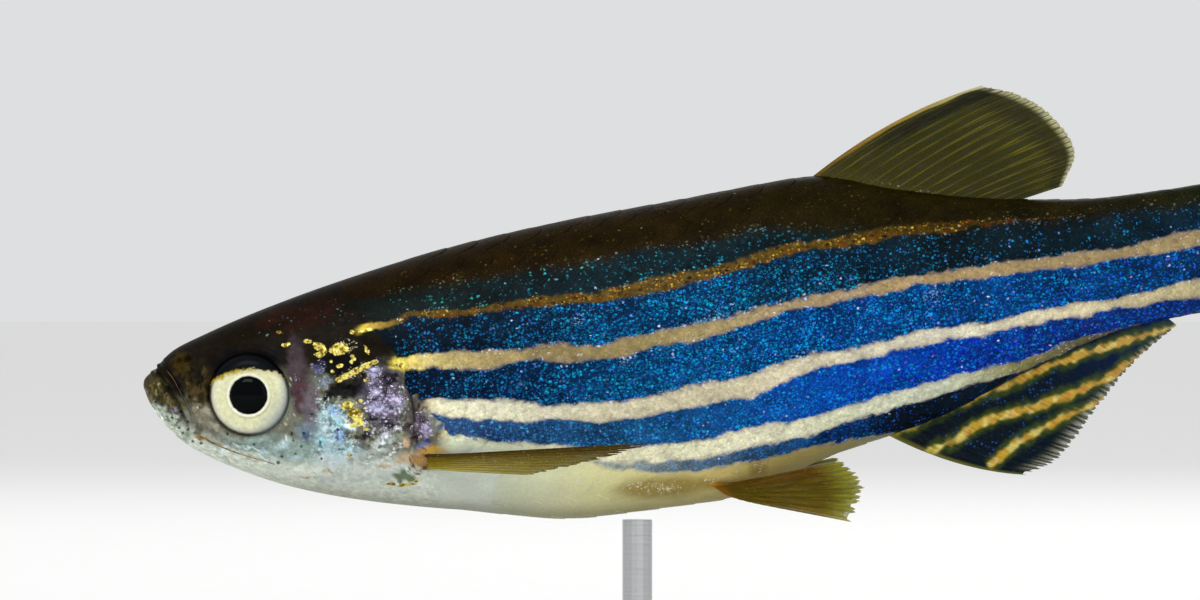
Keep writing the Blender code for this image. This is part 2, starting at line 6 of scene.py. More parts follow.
import bmesh
import bpy
import numpy as np
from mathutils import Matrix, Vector

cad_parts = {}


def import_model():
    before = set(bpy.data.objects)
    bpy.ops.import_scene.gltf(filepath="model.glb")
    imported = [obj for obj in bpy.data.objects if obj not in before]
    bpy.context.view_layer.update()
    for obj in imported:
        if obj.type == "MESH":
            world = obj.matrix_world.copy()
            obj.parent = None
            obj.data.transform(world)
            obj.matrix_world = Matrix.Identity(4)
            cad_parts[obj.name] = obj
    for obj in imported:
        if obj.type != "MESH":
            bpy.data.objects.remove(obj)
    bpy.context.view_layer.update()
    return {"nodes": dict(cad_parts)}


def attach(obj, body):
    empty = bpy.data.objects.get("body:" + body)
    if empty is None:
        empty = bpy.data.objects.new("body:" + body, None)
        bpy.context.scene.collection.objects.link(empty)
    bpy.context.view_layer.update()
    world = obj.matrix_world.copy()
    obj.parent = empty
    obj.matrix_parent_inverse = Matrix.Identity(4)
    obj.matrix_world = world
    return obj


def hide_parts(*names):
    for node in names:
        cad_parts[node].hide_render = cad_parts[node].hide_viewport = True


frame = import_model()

# Skin. Thin wet skin over the whole fish, from the lips to the root of the tail fin, in one
# piece. It is lofted through the body's sections, then the mouth, lips, nostrils, eye sockets and
# gill slits are pressed into it. Behind the gills the scales lie on it.

BODY_LENGTH = 35.0
# distance from the chin, top, bottom, half width, height of the widest line
BODY_STATIONS = np.array((
    (0.0, -0.15, -0.15, 0.00, -0.15),
    (0.3, 0.36, -1.04, 0.66, -0.42),
    (1.0, 0.93, -1.94, 1.06, -0.70),
    (2.0, 1.28, -2.65, 1.36, -0.85),
    (4.0, 1.83, -3.66, 1.76, -1.00),
    (6.0, 2.27, -4.33, 2.02, -1.05),
    (9.0, 2.78, -5.05, 2.24, -1.05),
    (13.0, 3.18, -5.78, 2.36, -1.05),
    (16.5, 3.34, -5.80, 2.26, -0.95),
    (20.5, 3.52, -4.86, 1.90, -0.60),
    (23.5, 2.70, -4.25, 1.62, -0.45),
    (26.5, 2.03, -3.18, 1.30, -0.35),
    (30.0, 1.66, -2.27, 0.96, -0.25),
    (35.0, 1.70, -2.05, 0.62, -0.20),
))
# distance from the chin, squareness of the back, squareness of the belly (2 is an ellipse)
SQUARENESS = np.array((
    (0, 2.2, 2.0), (3, 2.5, 2.1), (8, 2.2, 2.2), (16, 2.0, 2.1), (24, 1.9, 1.6), (35, 2.0, 2.0),
))
PITCH = math.radians(7.8)  # the tail is carried higher than the head
ROD_STATION = 14.2  # the rod meets the belly here
ROD_TOP = 9.75  # height of the solid rod's top over the floor
ROD_GAP = 0.25  # between the rod's top and the belly
COAT_DEPTH = 0.05  # the skin lies this far inside the body's outline where scales cover it
MOUTH_LINE = ((0.30, 0.62), (0.42, 0.43), (0.74, -0.19), (0.98, -0.75), (1.12, -1.25), (1.20, -1.70))
NOSTRILS = ((1.18, 0.60, 0.10), (1.42, 0.62, 0.15))  # front and back opening: x, z, radius
EYE_CENTRE = (3.14, -0.72)
EYE_RADIUS = 1.275
# free edge of the gill cover and hind edge of the cheek bone, from above to below: x, z
GILL_EDGE = (
    (6.55, 0.42), (7.25, 0.10), (7.62, -0.45), (7.90, -1.20), (7.95, -2.00), (7.78, -2.85),
    (7.35, -3.55), (6.55, -4.05), (5.3, -4.12),
)
CHEEK_EDGE = ((4.75, 0.55), (5.10, -0.30), (5.22, -1.30), (5.12, -2.20), (4.60, -2.95), (3.50, -3.35))


def smooth(table, x, column):
    """A column of the table at every x, by cubic pieces that neither overshoot nor kink."""
    u, v = np.sqrt(table[:, 0]), table[:, column]
    at = np.sqrt(np.clip(x, table[0, 0], table[-1, 0]))
    step = np.diff(u)
    slope = np.diff(v) / step
    tangent = np.empty_like(v)
    tangent[0], tangent[-1] = slope[0], slope[-1]
    for k in range(1, len(v) - 1):
        a, b = step[k - 1] + 2 * step[k], 2 * step[k - 1] + step[k]
        same_way = slope[k - 1] * slope[k] > 0
        tangent[k] = (a + b) / (b / slope[k - 1] + a / slope[k]) if same_way else 0
    k = np.clip(np.searchsorted(u, at, "right") - 1, 0, len(u) - 2)
    t = (at - u[k]) / step[k]
    start = (1 + 2 * t) * (1 - t) ** 2 * v[k] + t * (1 - t) ** 2 * step[k] * tangent[k]
    return start + t * t * (3 - 2 * t) * v[k + 1] + t * t * (t - 1) * step[k] * tangent[k + 1]


def section(x):
    return [smooth(BODY_STATIONS, x, k) for k in (1, 2, 3, 4)] + [smooth(SQUARENESS, x, k) for k in (1, 2)]


def half_width(x, z):
    """How far the body's side stands from the mid plane."""
    top, bottom, half, widest, upper, lower = section(np.asarray(x, float))
    z = np.asarray(z, float)
    share = np.where(z > widest, (z - widest) / (top - widest), (widest - z) / (widest - bottom))
    power = np.where(z > widest, upper, lower)
    return half * np.maximum(0.0, 1 - np.clip(share, 0, 1) ** power) ** (1 / power)


def world(points):
    """From the fish's own millimetres to the frame's metres."""
    x, y, z = np.asarray(points, float).reshape(-1, 3).T
    belly = smooth(BODY_STATIONS, ROD_STATION, 2)
    c, s = math.cos(PITCH), math.sin(PITCH)
    across, up = -(ROD_STATION * c - belly * s), ROD_TOP + ROD_GAP - (ROD_STATION * s + belly * c)
    return np.column_stack((x * c - z * s + across, y, x * s + z * c + up)) * 0.001


FISH_ORIGIN = world((0, 0, 0))[0]


def along(points, t):
    """Points at every t, from 0 to 1, of a smooth curve through the given points."""
    p = np.asarray(points, float)
    p = np.vstack((2 * p[0] - p[1], p, 2 * p[-1] - p[-2]))
    place = np.clip(t, 0, 1) * (len(p) - 3)
    k = np.minimum(place.astype(int), len(p) - 4)
    f = (place - k)[..., None]
    a, b, c, d = p[k], p[k + 1], p[k + 2], p[k + 3]
    return 0.5 * (2 * b + (c - a) * f + (2 * a - 5 * b + 4 * c - d) * f**2 + (3 * b - a - 3 * c + d) * f**3)


def ease(value, low, high):
    """0 below low, 1 above high and a smooth step between; low may be the greater."""
    t = np.clip((value - low) / (high - low), 0, 1)
    return t * t * (3 - 2 * t)


def nearest(x, z, line, count=90):
    """Distance in side view to a smooth line, the side of it, and how far along it is."""
    t = np.linspace(0, 1, count)
    p = along(line, t)
    best, side, place = np.full(x.shape, 1e9), np.zeros(x.shape), np.zeros(x.shape)
    for k in range(count - 1):
        run = p[k + 1] - p[k]
        f = np.clip(((x - p[k, 0]) * run[0] + (z - p[k, 1]) * run[1]) / (run @ run), 0, 1)
        dx, dz = x - p[k, 0] - f * run[0], z - p[k, 1] - f * run[1]
        gap = np.hypot(dx, dz)
        closer = gap < best
        best = np.where(closer, gap, best)
        side = np.where(closer, np.sign(run[0] * dz - run[1] * dx), side)
        place = np.where(closer, t[k] + f / (count - 1), place)
    return best, side, place


def hump(value, middle, spread):
    return np.exp(-(((value - middle) / spread) ** 2))


def sculpt(x, y, z):
    """How far the skin stands out from the plain lofted body, in millimetres."""
    height = -COAT_DEPTH * ease(x, 8.6, 10.2) - 0.01
    # lips: a slit between two rolls, with a fold behind the upper one
    gap, side, place = nearest(x, z, MOUTH_LINE)
    reach = ease(place, 1.0, 0.93) * ease(x, 2.2, 1.5)
    off = gap * side
    lips = -0.16 * hump(off, 0, 0.045) + 0.085 * hump(off, 0.13, 0.075) - 0.05 * hump(off, 0.27, 0.05)
    lips += 0.03 * hump(off, 0.37, 0.06) + 0.08 * hump(off, -0.13, 0.08) - 0.03 * hump(off, -0.32, 0.07)
    # where the lips meet in front the slit closes, and the chin stands a little forward
    reach = reach * (0.15 + 0.85 * ease(np.abs(y), 0.08, 0.42))
    height = height + lips * reach + 0.10 * hump(np.hypot(x - 0.10, z - 0.12), 0, 0.30)
    # jaw: the crease from the corner of the mouth back along the lower jaw
    gap, side, place = nearest(x, z, ((1.20, -1.70), (1.75, -2.02), (2.6, -2.55), (3.4, -3.05)))
    height = height - 0.045 * hump(gap, 0, 0.07) * ease(place, 1.0, 0.6)
    for cx, cz, radius in NOSTRILS:
        r = np.hypot((x - cx) / radius, (z - cz) / (radius * 0.85))
        height = height - 0.16 * ease(r, 1.0, 0.45) + 0.03 * hump(r, 1.25, 0.28)
    # a fleshy mound, which the pectoral fin grows from
    height = height + 0.26 * hump(np.hypot((x - 8.02) / 0.42, (z + 3.36) / 0.30), 0, 1)
    # eye: the socket is pressed in and its rim raised a little
    r = np.hypot(x - EYE_CENTRE[0], z - EYE_CENTRE[1])
    height = height - 1.0 * ease(r, EYE_RADIUS, EYE_RADIUS - 0.28) + 0.05 * hump(r, EYE_RADIUS + 0.14, 0.11)
    height = height - 0.03 * hump(r, EYE_RADIUS + 0.42, 0.08) * ease(z, -0.4, -1.0)
    # cheek: a low step behind the cheek bone, then the gill slit behind its cover
    gap, side, place = nearest(x, z, CHEEK_EDGE)
    height = height - 0.035 * hump(gap * side, -0.07, 0.07) * ease(place, 0, 0.15) * ease(place, 1, 0.8)
    gap, side, place = nearest(x, z, GILL_EDGE)
    off = gap * side
    slit = -0.09 * hump(off, 0.02, 0.10) - 0.03 * ease(off, 0.9, 0.2) * ease(off, 0.0, 0.1)
    return height + slit * ease(place, 0, 0.08) * ease(place, 0.80, 0.60)


def surface(x, angle):
    """The plain body's point at x and an angle round it, from its widest line on the right side."""
    top, bottom, half, widest, upper, lower = section(x)
    c, s = np.cos(angle), np.sin(angle)
    rise, power = np.where(s > 0, top - widest, widest - bottom), np.where(s > 0, upper, lower)
    y = half * np.sign(c) * np.abs(c) ** (2 / power)
    return np.stack(np.broadcast_arrays(x, y, widest + rise * np.sign(s) * np.abs(s) ** (2 / power)), -1)


def outward(grid, closed=True):
    """The way the sheet of points faces, across its rows and round its columns."""
    along_it = np.gradient(grid, axis=0)
    around = (np.roll(grid, -1, 1) - np.roll(grid, 1, 1)) if closed else np.gradient(grid, axis=1)
    normal = np.cross(around, along_it)
    return normal / np.maximum(np.linalg.norm(normal, axis=-1, keepdims=True), 1e-12)


def quads(rows, columns, closed=False):
    """Faces of a grid of points, wound so that rows x columns of surface() face outwards."""
    r, c = np.meshgrid(np.arange(rows - 1), np.arange(columns if closed else columns - 1), indexing="ij")
    after = (c + 1) % columns
    this, below = r * columns, (r + 1) * columns
    return np.stack((this + c, this + after, below + after, below + c), -1).reshape(-1, 4)


def set_down(name, data):
    """A new object in the scene, which shows a mesh, a lamp or a camera."""
    made = bpy.data.objects.new(name, data)
    bpy.context.scene.collection.objects.link(made)
    return made


def new_piece(name, points, faces, sharp):
    """A piece at the origin with its place in its mesh, from fish millimetres."""
    mesh = bpy.data.meshes.new(name)
    mesh.from_pydata(world(points).tolist(), [], [tuple(int(i) for i in f) for f in faces])
    piece = set_down(name, mesh)
    shape = bmesh.new()
    shape.from_mesh(mesh)
    bmesh.ops.recalc_face_normals(shape, faces=shape.faces)
    shape.to_mesh(mesh)
    shape.free()
    mesh.shade_smooth()
    mesh.set_sharp_from_angle(angle=math.radians(sharp))
    return piece


SKIN_SIDES = 256
HEAD_RINGS, TRUNK_RINGS, END_RINGS = 230, 64, 9
HEAD_END = 8.5  # the bare skin of the head, with its finer rings, ends here
ROOT_FLESH = 1.25  # how far the flesh runs over the tail fin's root
head_x = HEAD_END * (np.arange(1, HEAD_RINGS + 1) / HEAD_RINGS) ** 1.5
skin_x = np.concatenate((head_x, np.linspace(HEAD_END, BODY_LENGTH, TRUNK_RINGS + 1)[1:]))
round_it = np.arange(SKIN_SIDES) * math.tau / SKIN_SIDES
sheet = surface(skin_x[:, None], round_it[None, :])
# behind the last station the flesh closes over the root of the tail fin
for share in np.linspace(0, 1, END_RINGS + 1)[1:]:
    ring = sheet[len(skin_x) - 1].copy()
    ring[:, 0] += ROOT_FLESH * share
    ring[:, 1] *= math.sqrt(1 - 0.96 * share**2)
    sheet = np.concatenate((sheet, ring[None]))
facing = outward(sheet)
facing[0] = facing[1]
skin_points = sheet + facing * sculpt(*np.moveaxis(sheet, -1, 0))[..., None]
rings = len(skin_points)
snout = rings * SKIN_SIDES
faces = quads(rings, SKIN_SIDES, closed=True).tolist()
faces += [(snout, (k + 1) % SKIN_SIDES, k) for k in range(SKIN_SIDES)]
faces.append([(rings - 1) * SKIN_SIDES + k for k in range(SKIN_SIDES)])
skin_points = np.vstack((skin_points.reshape(-1, 3), (0.0, 0.0, BODY_STATIONS[0, 1])))
skin = new_piece("skin", skin_points, faces, 80)

# Markings, the same on skin and scales. Four pale lines run along each flank over dark blue, and
# the head is mottled in gold, lilac and pale blue. They are pigment and reflecting cells in the
# skin, so each is given by its place on the fish and reaches the material as an attribute.

# each pale line: distance from the chin, height of its middle, width
PALE_LINES = (
    ((6.6, .70, .16), (7.1, .76, .22), (7.6, .76, .24), (8.3, 1.00, .17), (10, .87, .17), (12, .90, .24),
     (14, .80, .30), (16, .92, .34), (18, 1.16, .33), (20, 1.43, .32), (22, 1.47, .30), (23.2, 1.54, .34),
     (25.5, 1.43, .20), (26.8, 1.34, 0), (35, 1.1, -.3)),
    ((7.45, -.42, .18), (7.8, -.46, .36), (8.6, -.44, .44), (10, -.56, .48), (12, -.69, .46),
     (14, -.81, .45), (16, -.71, .42), (18, -.47, .36), (20, -.21, .33), (22, -.07, .33), (24, -.03, .34),
     (26, 0, .36), (28, -.03, .40), (30, -.04, .43), (32, .08, .45), (35, .1, .46)),
    ((8.35, -1.68, .30), (9, -1.90, .56), (10, -2.09, .57), (12, -2.42, .61), (14, -2.68, .62),
     (16, -2.63, .72), (18, -2.44, .66), (20, -2.06, .53), (22, -1.88, .43), (24, -1.79, .42),
     (26, -1.68, .41), (28, -1.59, .44), (30, -1.52, .42), (32, -1.42, .42), (35, -1.3, .42)),
    ((8.75, -2.90, .28), (9.3, -3.00, .40), (10, -3.16, .44), (12, -3.59, .48), (14, -4.04, .50),
     (16, -4.14, .56), (18, -4.05, .58), (20, -3.89, .52), (22, -3.53, .46), (24, -3.28, .42),
     (26, -3.02, .36), (28, -2.56, .22), (30, -2.31, .12), (32, -2.2, -.1), (35, -2.1, -.3)),
)
# where the dark line over the belly ends below
BELLY_TOP = (
    (8.5, -2.9), (10, -3.2), (12.4, -3.75), (13.6, -4.36), (15, -4.66), (16, -4.78), (18, -4.73),
    (20, -4.56), (22, -4.48), (23, -4.7), (35, -5.0),
)
# where the dark ground of the flanks begins, from below to above: height, distance from the chin
DARK_START = (
    (-9, 9.9), (-3.0, 9.8), (-2.75, 9.15), (-2.5, 8.9), (-2.2, 8.7), (-1.8, 8.35), (-1.5, 8.05),
    (-.7, 7.95), (-.35, 7.6), (.4, 7.35), (.95, 7.2), (1.5, 6.6), (2.5, 6.0), (9, 6.0),
)
# where the blue of the flank gives way to the brown back
BLUE_TOP = (
    (7, 1.50), (8, 1.56), (10, 1.60), (12, 1.70), (14, 1.78), (16, 1.88), (18, 1.95), (19.5, 1.98),
    (21, 1.85), (22, 1.62), (23, 1.38), (26, 1.24), (29, 1.08), (32, 1.02), (35, 1.15),
)


def linear(code):
    """An sRGB hex colour as linear red, green and blue."""
    values = np.array([int(code[k : k + 2], 16) / 255 for k in (1, 3, 5)])
    return np.where(values <= 0.04045, values / 12.92, ((values + 0.055) / 1.055) ** 2.4)


def column(table, x, k=1):
    table = np.array(table, float)
    return np.interp(x, table[:, 0], table[:, k])


def tones(x, stops):
    """Colours at every x between stops, each a place and a hex code."""
    places, codes = [s[0] for s in stops], np.array([linear(s[1]) for s in stops])
    return np.stack([np.interp(x, places, codes[:, k]) for k in range(3)], -1)


def blend(under, over, share):
    """Colours moved by a share from one towards another, which may be a hex code."""
    over = linear(over) if isinstance(over, str) else over
    return under + (over - under) * np.asarray(share)[..., None]


# the grounds from the back down to the belly, as (distance, hex) stops: pigment, then the colour
# of the bright cells on it, then the share of those cells that shine
BACK_TONE = (
    (0, "#120D04"), (5, "#1A1003"), (12, "#1E1301"), (24, "#1B1501"), (29, "#191604"), (35, "#161E0C"),
)
BACK_SPARK = "#7C6C1C"
DARK_TONES = (
    ((7, "#0C1410"), (12, "#08181E"), (18, "#0A1C22"), (22, "#0C1A16"), (35, "#0A2230")),
    ((7, "#060F16"), (11, "#04182C"), (16, "#032A50"), (19, "#052238"), (24, "#08161C"), (30, "#081A22"),
     (35, "#082438")),
    ((7, "#060F1C"), (11, "#041E3C"), (16, "#042E56"), (20, "#022C62"), (28, "#032C58"), (32, "#062648"),
     (35, "#062C5A")),
    ((8, "#2C405C"), (10, "#24406A"), (14, "#144268"), (17, "#0E4278"), (20, "#043C8E"), (24, "#022E88"),
     (28, "#082658"), (35, "#082C6C")),
    ((8, "#98A08C"), (14, "#8A948C"), (16, "#5A6E7C"), (18, "#2C4A66"), (20, "#0C3464"), (22, "#0A151E"),
     (35, "#081830")),
)
SPARK_TONES = (
    ((5, "#5A9050"), (9, "#2C9C94"), (14, "#1E9CB8"), (20, "#1E88B0"), (35, "#1478C8")),
    ((7, "#1878C0"), (12, "#0C88D0"), (17, "#0C98E8"), (22, "#1488C8"), (28, "#107CC8"), (35, "#1078D8")),
    ((7, "#1A78C8"), (13, "#1088D8"), (18, "#0E94F0"), (24, "#0C80F0"), (30, "#0A70E8"), (35, "#0A68F0")),
    ((8, "#4A98E8"), (14, "#2C90E8"), (18, "#1488F4"), (22, "#0C68F8"), (28, "#1058F0"), (35, "#1050F0")),
    ((8, "#80A8D0"), (16, "#4A88D0"), (20, "#1868E8"), (24, "#1450C0"), (35, "#1048D8")),
)
SPARK_SHARES = (
    ((7, .10), (10, .17), (16, .24), (21, .14), (26, .25), (35, .30)),
    ((7, .28), (9, .36), (12, .65), (16, .95), (19, .66), (23, .32), (28, .18), (31, .22), (35, .30)),
    ((7, .30), (9, .42), (12, .70), (16, .95), (22, 1.0), (27, .90), (31, .62), (35, .60)),
    ((8, .75), (12, .70), (16, .75), (19, .95), (25, 1.05), (30, .80), (35, .70)),
    ((8, .20), (16, .50), (19, .85), (21, .80), (23, .25), (35, .40)),
)
# the four pale lines and the belly, in the same way
PALE_TONES = (
    ((6.5, "#E4CE44"), (7.2, "#B89A48"), (7.9, "#5C4814"), (12, "#544212"), (16, "#5A4A22"),
     (20, "#564414"), (24, "#3C3008"), (27, "#2A2006")),
    ((7.4, "#ECD848"), (8.4, "#D8C478"), (9.8, "#AE9C68"), (12, "#907E54"), (16, "#968658"),
     (20, "#A8926C"), (24, "#A28A5C"), (28, "#94805A"), (35, "#94825C")),
    ((8.2, "#A88850"), (8.7, "#E8E4C0"), (10, "#DEDCBE"), (14, "#C8C0A2"), (18, "#C8BE9E"),
     (24, "#DCD6BE"), (28, "#D2C6A2"), (31, "#B8AC82"), (35, "#B4A880")),
    ((8.6, "#E0E4C0"), (10, "#EAF0CE"), (14, "#E2E0BC"), (18, "#E6E4C2"), (21, "#E4E6C6"),
     (24, "#C4CAB0"), (26, "#908C54"), (29, "#5C562A")),
)
BELLY_TONE = (
    (5, "#C0C8A8"), (8, "#CCD6BE"), (10, "#D2DCC2"), (11.5, "#DEE2BC"), (13, "#DEDCA6"),
    (14.5, "#D8D294"), (16, "#D0C27C"), (18, "#C6B46C"), (20, "#AA9850"), (22, "#6E6E38"),
    (24, "#2A3428"), (35, "#1A2C40"),
)

# The head, painted patch on patch: hex, soft edge, then ellipses of x, z, half length, half
# height and turn in degrees
HEAD_PATCHES = (
    # crown, nape and snout
    ("#120D05", .9, (3.0, 1.9, 3.6, 1.25, 14), (6.4, 1.75, 3.0, 1.15, 6)),
    ("#24110A", .9, (5.3, 1.35, .9, .35, 20), (4.3, 1.5, .6, .25, 15), (1.9, .85, .35, .18, 20)),
    ("#17120A", .8, (1.3, .40, 1.3, .70, 40), (5.6, .5, 1.9, .45, 0)),
    ("#0B0A0B", .7, (3.15, .28, 1.25, .46, 0)),
    ("#35290C", .8, (1.21, .49, .28, .32, -8), (1.72, -.35, .45, .70, -5)),
    ("#16130C", .8, (1.75, .10, .28, .32, 0), (2.02, -.45, .15, .28, 0), (1.05, .02, .18, .14, -40)),
    ("#3C331C", .8, (1.52, -.55, .20, .36, -10), (1.92, .16, .10, .09, 0), (1.30, -.12, .12, .10, 0)),
    # bare pale skin between the mouth and the eye
    ("#807B6A", .8, (1.76, -1.20, .28, .46, -33), (1.48, -.86, .12, .28, -28),
     (2.4, -1.95, .5, .14, -38)),
    ("#5A5850", .5, (1.47, -1.49, .12, .17, -8)),
    ("#9C9A88", .6, (1.80, -1.02, .12, .16, -30), (2.0, -1.5, .2, .1, -38)),
    # lower jaw
    ("#423C22", .8, (.34, -.19, .36, .50, 12), (.84, -.78, .26, .46, 24)),
    ("#695A36", .8, (.50, -.16, .13, .08, -28), (.20, -.07, .09, .07, 0), (.10, -.42, .08, .08, 0),
     (.62, -.50, .08, .10, 0)),
    ("#8A7F5C", .7, (.30, -.33, .06, .05, 0), (.42, -.02, .05, .04, 0), (.72, -.66, .05, .05, 0)),
    ("#6C6C82", .7, (.80, -.83, .10, .10, 0), (.93, -1.08, .07, .07, 0)),
    ("#A6B4A2", .7, (.45, -.80, .13, .08, -30), (.70, -1.22, .20, .26, 32), (1.02, -1.72, .22, .18, 35)),
    ("#A8804A", .6, (1.50, -1.79, .20, .05, -20)),
    # cheek
    ("#8CA29B", .8, (3.9, -2.40, 1.0, .36, -22), (2.9, -2.25, .8, .18, -28), (4.48, -2.55, .46, .30, -8)),
    ("#A9C1C4", .7, (3.89, -2.34, .28, .13, 32), (4.30, -2.80, .26, .10, 10),
     (3.3, -2.45, .25, .07, -20)),
    # painted glints: thin cyan-white streaks along the barbel and a pink-white spot under the eye
    ("#D6EEF0", .5, (2.19, -2.24, .16, .05, -13), (2.61, -2.19, .20, .03, -16),
     (2.96, -2.33, .28, .035, -8), (3.30, -2.65, .16, .05, -33), (2.63, -2.42, .28, .03, -23),
     (3.61, -2.83, .13, .035, -18)),
    ("#DCCED8", .5, (3.67, -2.23, .09, .045, 0), (4.10, -2.10, .05, .03, 30)),
    # dusky skin behind the eye, with a row of cream dots on the eye's rim
    ("#453A3E", .7, (4.70, -.37, .32, 1.10, -3)),
    ("#4A3034", .8, (4.68, -.89, .13, .46, -3)),
    ("#675D66", .7, (4.95, -1.34, .24, .75, -8)),
    ("#738490", .8, (4.72, -2.00, .34, .30, 0)),
    ("#56567E", .8, (5.33, -.17, .11, .26, -30)),
    ("#6E7C84", .7, (5.37, -.60, .13, .13, 0), (5.59, -.56, .20, .06, -38)),
    ("#CFC6AA", .4, (4.47, -.42, .030, .045, 12), (4.45, -.62, .028, .028, 0),
     (4.45, -.88, .038, .036, 0), (4.38, -1.45, .030, .030, 0), (4.22, -1.62, .032, .030, 0),
     (4.08, -1.76, .028, .028, 0)),
    # upper gill cover: blue black, with pale blue below it and lilac behind
    ("#17130F", .5, (6.20, -.60, .62, .36, 12)),
    ("#08090C", .5, (6.22, -1.00, .52, .24, 2), (5.80, -.95, .22, .16, 0), (5.95, -.16, .72, .30, -12),
     (5.55, -1.0, .15, .18, 0)),
    ("#9CB8C0", .8, (5.51, -1.84, .42, .52, -8), (5.61, -2.68, .74, .36, -18),
     (5.04, -2.29, .18, .30, -8)),
    ("#7596BE", .6, (5.64, -1.50, .20, .14, 0), (5.66, -2.27, .22, .17, 0)),
    ("#4A5C72", .6, (5.73, -2.71, .12, .06, 0), (4.98, -2.49, .06, .10, 0), (4.73, -2.10, .20, .07, -8)),
    ("#8ED2DA", .6, (5.02, -2.44, .06, .09, 0), (5.16, -2.33, .07, .05, 0), (5.90, -2.04, .05, .10, 0),
     (5.72, -1.86, .08, .05, 0)),
    ("#C2D2D4", .7, (5.5, -3.0, .65, .18, -8), (5.98, -1.95, .10, .20, 20), (5.3, -2.0, .12, .10, 0)),
    ("#443D4C", .7, (7.1, -1.35, .66, .98, 0)),
    ("#837B98", .7, (6.94, -.55, .24, .13, 0), (6.95, -1.05, .19, .24, 0), (7.0, -1.60, .32, .20, 0),
     (7.45, -1.55, .26, .28, 0)),
    ("#B0A9C8", .6, (6.94, -.53, .13, .07, 0), (6.95, -1.12, .11, .12, 0), (6.95, -1.66, .17, .09, 0),
     (7.52, -1.42, .10, .12, 0)),
    ("#241D2A", .6, (7.46, -.80, .22, .15, -8), (6.64, -1.94, .14, .10, 0), (6.45, -2.38, .18, .11, 0),
     (7.19, -2.14, .20, .08, 0), (7.28, -1.24, .08, .14, 0)),
    ("#43373A", .7, (7.92, -1.20, .10, .46, -3)),
    # lower gill cover, pale green with painted white glints, and the peach lump under it
    ("#B2BEB8", .7, (6.95, -2.76, .42, .15, 20), (6.22, -3.13, .46, .21, -8)),
    ("#C4CEC6", .8, (5.75, -3.5, 1.0, .3, -8), (6.9, -3.6, .5, .3, 0)),
    # painted glints: a pale blue-white spot and thin white streaks
    ("#D6DDE2", .5, (7.53, -2.27, .13, .10, 0), (6.95, -2.53, .28, .05, 22), (7.11, -3.04, .38, .035, 28),
     (5.47, -3.67, .20, .03, 22)),
    ("#CCB0AC", .5, (7.43, -2.80, .14, .03, 34)),
    ("#B89E80", .7, (7.67, -2.75, .11, .20, -8), (7.55, -3.26, .26, .14, 2), (6.86, -3.37, .22, .08, 2)),
    ("#B49066", .5, (5.16, -3.27, .19, .035, 2), (4.52, -3.44, .25, .035, 0)),
    ("#5A6C50", .5, (7.45, -3.75, .31, .17, -12)),
    # shoulder, between the gill cover and the fronts of the lines
    ("#3E3438", .7, (8.08, -2.15, .34, .66, -10)),
    ("#9E92BC", .6, (8.16, -2.10, .13, .26, -23), (8.32, -2.52, .11, .15, -8)),
    ("#4E5480", .6, (8.03, -2.87, .22, .11, 12), (8.25, -2.75, .11, .09, 0)),
    ("#D0C49C", .5, (8.94, -2.74, .25, .15, -8)),
    ("#6A4C20", .4, (8.60, -2.67, .03, .20, -28)),
    ("#2A5084", .5, (8.83, -2.29, .09, .06, 0), (9.20, -2.42, .08, .06, 0)),
    ("#B08A30", .5, (8.50, -3.08, .58, .11, -12)),
    ("#8E6620", .6, (8.05, -3.36, .36, .28, 0)),
    ("#574324", .4, (7.66, -3.36, .04, .24, 0), (8.05, -3.66, .34, .04, 4)),
)
# plates of gold cells, and black cells in clusters: x, z, half length, half height, turn
GOLD_SPOTS = (
    (5.13, .63, .13, .045, -13), (5.44, .43, .18, .10, -33), (5.43, .20, .14, .06, -8),
    (5.62, .28, .05, .04, 0), (6.02, .28, .23, .15, 2), (4.51, .64, .06, .05, 0),
    (4.42, .62, .09, .05, -8), (4.29, 1.03, .05, .04, 0), (6.49, .73, .09, .05, -8),
    (6.72, .72, .13, .04, -8), (6.85, .11, .035, .15, 17), (6.34, -.16, .05, .05, 0),
    (5.74, -.36, .05, .05, 0), (5.89, -.63, .09, .07, -8), (6.10, -.55, .18, .08, 18),
    (6.42, -.44, .20, .08, 18), (6.76, -.33, .18, .08, 18), (7.02, -.25, .10, .055, 10),
    (6.05, -1.42, .16, .11, 2), (6.25, -1.70, .18, .14, -28), (6.32, -1.95, .14, .11, -10),
    (6.12, -2.04, .08, .05, 0), (6.40, -.04, .06, .09, 10), (5.98, -.22, .09, .05, 0),
    (6.47, -1.34, .06, .045, 0), (6.72, -.74, .08, .05, 20), (7.45, -4.02, .26, .04, 0),
    (7.75, -3.93, .06, .05, 0), (6.99, -3.93, .13, .035, -8), (7.72, -.42, .14, .08, -5),
    (5.75, -.05, .045, .04, 0), (6.52, -2.2, .05, .05, 0), (5.92, -2.92, .05, .05, 0),
    (7.00, .74, .09, .045, 0),
)
INK_SPOTS = (
    (4.27, -2.03, .055, .05, 0), (4.29, -2.23, .045, .04, 0), (4.29, -2.65, .055, .05, 0),
    (3.87, -2.68, .05, .045, 0), (3.73, -2.84, .07, .06, 0), (2.35, -1.79, .05, .045, 0),
    (4.63, -2.08, .06, .05, 0), (.90, -1.41, .055, .045, 0), (1.15, -1.50, .05, .045, 0),
    (.87, -1.25, .045, .04, 0), (.98, -1.58, .045, .04, 0), (1.49, -1.96, .06, .05, 0),
    (1.24, -1.87, .05, .045, 0), (.74, -1.08, .045, .04, 0), (5.66, -2.10, .05, .045, 0),
    (4.95, -1.55, .05, .05, 0), (5.08, -2.42, .045, .09, 0), (4.5, -2.45, .045, .045, 0),
    (5.05, -2.9, .045, .045, 0), (1.04, -.95, .045, .045, 0), (1.20, -1.26, .05, .045, 0),
    (1.36, -.52, .05, .05, 0), (1.64, -.20, .05, .05, 0), (1.92, -.62, .045, .05, 0),
    (1.62, -.70, .05, .045, 0), (.62, -.30, .045, .04, 0), (.28, -.55, .045, .04, 0),
    (3.1, -2.2, .045, .04, 0),
)
